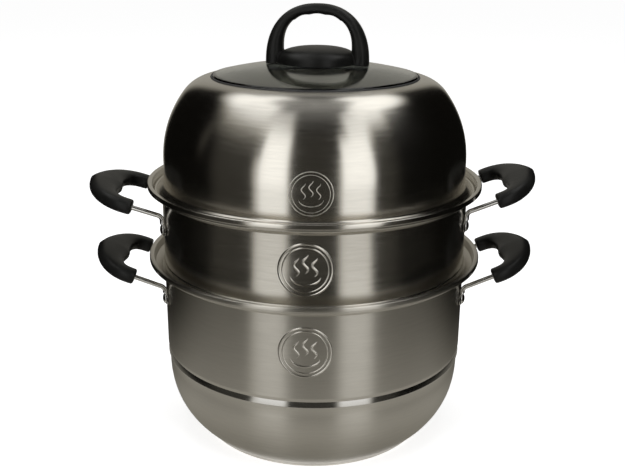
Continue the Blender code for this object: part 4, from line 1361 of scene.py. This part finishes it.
class STEAMER_OT_glass_top(bpy.types.Operator):
    """Turn the domed glass and the seal round it"""
    bl_idname = "steamer.glass_top"
    bl_label = "Glass top"

    def execute(self, context):
        lid = sizes()[2]
        self.pane(lid)
        self.seal()
        return {"FINISHED"}

    def pane(self, lid):
        radius = lid.crown_edge - GLASS_FIT
        thickness = lid.glass_thickness
        flat = radius - GLASS_EDGE
        reaches = [flat * step / ARC_STEPS for step in range(ARC_STEPS + 1)]
        profile = [(reach, glass_height(lid, reach)) for reach in reaches]
        middle = glass_height(lid, radius) - thickness / 2
        for step in range(1, 6):
            angle = math.pi * step / 6
            profile.append((flat + GLASS_EDGE * math.sin(angle),
                            middle + (thickness / 2 - 0.0002) * math.cos(angle)))
        profile += [(reach, glass_height(lid, reach) - thickness)
                    for reach in reaches[::-1]]
        pane = turn_profile("lid_pane", profile)
        drill(pane, 32, 0.0035, thickness * 4,
              (lid.handle_offset, 0, glass_height(lid, 0)))
        settle(pane, "tempered_glass", "lid", ["lid_glass"])

    def seal(self):
        low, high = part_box("lid_gasket")
        outer = high.x
        inner = outer - SEAL_WALL
        shelf = low.z + SEAL_SHELF
        profile = rounded_path([
            (SEAL_BORE, low.z, 0), (outer, low.z, 0.0004), (outer, high.z, 0.0006),
            (inner, high.z, 0.0006), (inner, shelf, 0.0002), (SEAL_BORE, shelf, 0),
            (SEAL_BORE, low.z, 0)], 4)
        seal = turn_profile("glass_seal", profile)
        settle(seal, "black_rubber", "lid", ["lid_gasket"])


class STEAMER_OT_lid_handle(bpy.types.Operator):
    """Mould the lid's arched handle with its finger scallops and round boss"""
    bl_idname = "steamer.lid_handle"
    bl_label = "Lid handle"

    def execute(self, context):
        lid = sizes()[2]
        base = glass_height(lid, lid.boss_radius)
        arch = sweep_rings("lid_arch", self.arch(lid, base))
        boss_tool = turn_profile("boss_tool", self.boss(lid, base), 96)
        carve(arch, boss_tool, "UNION")
        only(arch)
        arch.data.remesh_voxel_size = MOULDING_VOXEL
        bpy.ops.object.voxel_remesh()
        apply_modifier(arch, "SMOOTH", factor=0.5, iterations=6)
        move_mesh(arch, Matrix.Translation((lid.handle_offset, 0, 0))
                  @ Matrix.Rotation(lid.handle_turn, 4, "Z"))
        carve(arch, self.hollow(lid))
        drill(arch, 32, SCREW_CLEARANCE, 0.0180,
              (lid.handle_offset, 0, glass_height(lid, 0) + 0.0016))
        arch.name = "lid_arch_handle"
        settle(arch, "black_bakelite_skin", "lid", ["lid_handle"], 50)
        return {"FINISHED"}

    def arch(self, lid, base):
        """Sections of the arch, between its outer line and its opening's scalloped one."""
        rings = []
        stations = 72
        for step in range(stations + 1):
            angle = math.pi * step / stations
            cos, sin = math.cos(angle), math.sin(angle)
            outer = Vector((lid.arch_half_width * unit_power(cos, ARCH_FULLNESS), 0,
                            base + lid.arch_height * unit_power(sin, ARCH_FULLNESS)))
            inner = Vector((
                lid.opening_half_width * unit_power(cos, OPENING_FULLNESS), 0,
                base + lid.opening_rise
                + lid.opening_height * unit_power(sin, OPENING_FULLNESS)))
            if sin > 0.5 and abs(inner.x) < SCALLOP_REACH:
                swing = math.pi * (inner.x + SCALLOP_REACH) / SCALLOP_PITCH
                inner.z -= SCALLOP_DEPTH * (1 - abs(math.sin(swing)))
            sink = Vector((0, 0, 0))
            if step in (0, stations):
                inner.z = outer.z
                sink.z = -ARCH_SINK
            rings.append(section((outer + inner) / 2 + sink, (outer - inner).normalized(),
                                 Vector((0, 1, 0)), (outer - inner).length / 2,
                                 ARCH_HALF_DEPTH + ARCH_FOOT_SPREAD * cos ** 4, 28,
                                 MOULDING_FULLNESS))
        return rings

    def boss(self, lid, base):
        """Profile of the domed boss."""
        profile = [(0, base), (lid.boss_radius, base)]
        for step in range(20):
            angle = math.pi / 2 * step / 20
            profile.append((
                lid.boss_radius * unit_power(math.cos(angle), MOULDING_FULLNESS),
                base + BOSS_EDGE
                + BOSS_DOME * unit_power(math.sin(angle), MOULDING_FULLNESS)))
        profile.append((0, base + BOSS_EDGE + BOSS_DOME))
        return profile

    def hollow(self, lid):
        """A tool that clears the glass, closely at the boss's lip and more inside it."""
        low = glass_height(lid, lid.arch_half_width) - 0.0200
        wide = lid.arch_half_width + 0.0060
        profile = [(0, low), (wide, low)]
        for step in range(ARC_STEPS + 1):
            reach = wide * (1 - step / ARC_STEPS)
            rise = 0.0006 if reach > BOSS_LIP else 0.0016
            profile.append((reach, glass_height(lid, reach) + rise))
        return turn_profile("hollow_tool", profile, 96)


class STEAMER_OT_fastening(bpy.types.Operator):
    """Turn the handle's washers and its cross-headed screw"""
    bl_idname = "steamer.fastening"
    bl_label = "Handle fastening"

    def execute(self, context):
        lid = sizes()[2]
        shift = Matrix.Translation((lid.handle_offset, 0, 0))
        for name, node, finish, body_slot in (
                ("soft_washer", "lid_soft_washer", "black_rubber", "black_silicone"),
                ("steel_washer", "lid_steel_washer", "rivet_steel", "polished_steel")):
            low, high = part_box(node)
            reach = high.y
            edge = min(0.0003, (high.z - low.z) / 4)
            profile = rounded_path([
                (SCREW_CLEARANCE, low.z, 0), (reach, low.z, edge), (reach, high.z, edge),
                (SCREW_CLEARANCE, high.z, 0), (SCREW_CLEARANCE, low.z, 0)], 3)
            washer = turn_profile(name, profile, 64)
            move_mesh(washer, shift)
            settle(washer, finish, "lid", [node])
        self.screw(shift)
        return {"FINISHED"}

    def screw(self, shift):
        low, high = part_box("lid_handle_screw")
        head = low.z + SCREW_HEAD_HEIGHT
        profile = [(0, low.z)]
        for step in range(1, 9):
            angle = math.pi / 2 * step / 8
            profile.append((SCREW_HEAD_RADIUS * math.sin(angle),
                            low.z + SCREW_HEAD_DOME * (1 - math.cos(angle))))
        profile += [(SCREW_HEAD_RADIUS, head), (SCREW_RADIUS, head)]
        pitch = (high.z - head - 0.0010) / THREADS
        for turn in range(THREADS):
            start = head + 0.0005 + pitch * turn
            profile += [(SCREW_RADIUS, start + pitch * 0.3),
                        (THREAD_ROOT, start + pitch * 0.6),
                        (SCREW_RADIUS, start + pitch * 0.9)]
        profile += [(THREAD_ROOT, high.z), (0, high.z)]
        screw = turn_profile("handle_screw", profile, 40)
        for turn in (0, math.pi / 2):
            start_clean()
            bpy.ops.mesh.primitive_cube_add(size=1, location=(0, 0, low.z),
                                            rotation=(0, 0, turn + math.radians(20)))
            slot = bpy.context.active_object
            slot.scale = (0.0050, 0.0009, 0.0030)
            apply_place(slot)
            carve(screw, slot)
        move_mesh(screw, shift)
        settle(screw, "rivet_steel", "lid", ["lid_handle_screw"])


class STEAMER_OT_side_handles(bpy.types.Operator):
    """Bend the side handles' wires and mould their grips"""
    bl_idname = "steamer.side_handles"
    bl_label = "Side handles"

    def execute(self, context):
        handles = sizes()[3]
        for body, entries, radii, top in vessels():
            for name, side, tilt, bend_rise, rise, reach in entries:
                place = handle_place(handles, top, side, rise)
                bent = (handles, radii, tilt, bend_rise, reach)
                wire = sweep_rings(name + "_wire", wire_rings(*bent))
                move_mesh(wire, place)
                settle(wire, "wire_steel", body,
                       [name + "_handle_wire"], 60)
                grip = sweep_rings(name + "_grip", grip_rings(*bent), looped=True)
                move_mesh(grip, place)
                settle(grip, "black_bakelite_skin", body,
                       [name + "_handle_grip"], 40)
        return {"FINISHED"}


class STEAMER_OT_rivets(bpy.types.Operator):
    """Turn one rivet and copy it to the eight handle ends"""
    bl_idname = "steamer.rivets"
    bl_label = "Rivets"

    def execute(self, context):
        handles = sizes()[3]
        rivet = turn_profile("rivet", self.profile(handles), 32)
        for body, entries, (wall_radius, _), top in vessels():
            azimuth = leg_azimuth(handles, wall_radius)
            to_wall = (Matrix.Translation((wall_radius, 0, 0))
                       @ Matrix.Rotation(math.pi / 2, 4, "Y"))
            for name, side, _, _, rise, _ in entries:
                place = handle_place(handles, top, side, rise)
                for end in (-1, 1):
                    where = "front" if end == -side else "back"
                    twin = copy_piece(rivet, name + "_domed_rivet_" + where)
                    move_mesh(twin, place @ Matrix.Rotation(end * azimuth, 4, "Z")
                              @ to_wall)
                    settle(twin, "rivet_steel", body,
                           [name + "_rivet_" + where])
        bpy.data.objects.remove(rivet, do_unlink=True)
        return {"FINISHED"}

    def profile(self, handles):
        """From the tail inside the wall, along the shank, to the domed head."""
        head = GAP + 2 * TAB_HALF_THICKNESS + GAP
        tail = -SHEET - GAP - RIVET_SLACK
        end = tail - RIVET_TAIL_HEIGHT
        profile = [(0, end), (0.0036, end), (0.0043, tail - 0.0012), (0.0046, tail),
                   (RIVET_SHANK, tail), (RIVET_SHANK, head)]
        for step in range(12):
            angle = math.pi / 2 * step / 12
            profile.append((handles.rivet_radius * math.cos(angle),
                            head + handles.rivet_height * math.sin(angle)))
        profile.append((0, head + handles.rivet_height))
        return profile


class STEAMER_OT_medallions(bpy.types.Operator):
    """Press the plain medallions into the pot and the tier and etch the lid's"""
    bl_idname = "steamer.medallions"
    bl_label = "Medallions"

    def execute(self, context):
        marks = context.scene.steamer_medallions
        heights = (marks.pot_height, marks.tier_height)
        for (body, _, (wall_radius, _), _), height in zip(vessels(), heights):
            place = wall_point(lambda z, wall=wall_radius: wall, marks.azimuth, height)
            piece = medallion(body + "_medallion", marks.radius, marks.line_width,
                              marks.relief, place)
            settle(piece, body + "_brushed_steel", body)
        lid = sizes()[2]
        place = wall_point(lambda z: self.lid_radius(lid, z), marks.lid_azimuth,
                           marks.lid_height)
        piece = medallion("lid_medallion", marks.lid_radius, marks.lid_line_width,
                          marks.lid_relief, place)
        settle(piece, "etched_steel", "lid")
        return {"FINISHED"}

    def lid_radius(self, lid, z):
        """Radius of the lid's wall at a height."""
        above = max(0.0, z - lid.place - lid.wall_height)
        return (lid.wall_radius - lid.shoulder_radius
                + math.sqrt(lid.shoulder_radius ** 2 - above ** 2))


class STEAMER_PT_panel(bpy.types.Panel):
    """Lists the steamer's parts"""
    bl_idname = "STEAMER_PT_panel"
    bl_label = "Steamer"
    bl_space_type = "VIEW_3D"
    bl_region_type = "UI"
    bl_category = "Steamer"

    def draw(self, context):
        column = self.layout.column(align=True)
        for operator in OPERATORS:
            column.operator(operator.bl_idname)
        for group in GROUPS:
            settings = getattr(context.scene, GROUPS[group])
            box = self.layout.box()
            box.label(text=group.__name__)
            for key in group.__annotations__:
                box.prop(settings, key)


GROUPS = {
    PotSizes: "steamer_pot",
    TierSizes: "steamer_tier",
    LidSizes: "steamer_lid",
    HandleSizes: "steamer_handles",
    MedallionSizes: "steamer_medallions",
    Finishes: "steamer_finishes",
    StudioSettings: "steamer_studio",
}
OPERATORS = (
    STEAMER_OT_studio,
    STEAMER_OT_pot_shell,
    STEAMER_OT_base,
    STEAMER_OT_steam_plate,
    STEAMER_OT_tier_shell,
    STEAMER_OT_lid_dome,
    STEAMER_OT_glass_top,
    STEAMER_OT_lid_handle,
    STEAMER_OT_fastening,
    STEAMER_OT_side_handles,
    STEAMER_OT_rivets,
    STEAMER_OT_medallions,
)


def register():
    for group, attribute in GROUPS.items():
        bpy.utils.register_class(group)
        setattr(bpy.types.Scene, attribute, PointerProperty(type=group))
    for item in OPERATORS + (STEAMER_PT_panel,):
        bpy.utils.register_class(item)


def unregister():
    for item in (STEAMER_PT_panel,) + OPERATORS[::-1]:
        bpy.utils.unregister_class(item)
    for group, attribute in GROUPS.items():
        delattr(bpy.types.Scene, attribute)
        bpy.utils.unregister_class(group)


def main():
    register()
    bpy.ops.steamer.studio()
    bpy.ops.steamer.pot_shell()
    bpy.ops.steamer.base()
    bpy.ops.steamer.steam_plate()
    bpy.ops.steamer.tier_shell()
    bpy.ops.steamer.lid_dome()
    bpy.ops.steamer.glass_top()
    bpy.ops.steamer.lid_handle()
    bpy.ops.steamer.fastening()
    bpy.ops.steamer.side_handles()
    bpy.ops.steamer.rivets()
    bpy.ops.steamer.medallions()


if __name__ == "__main__":
    main()
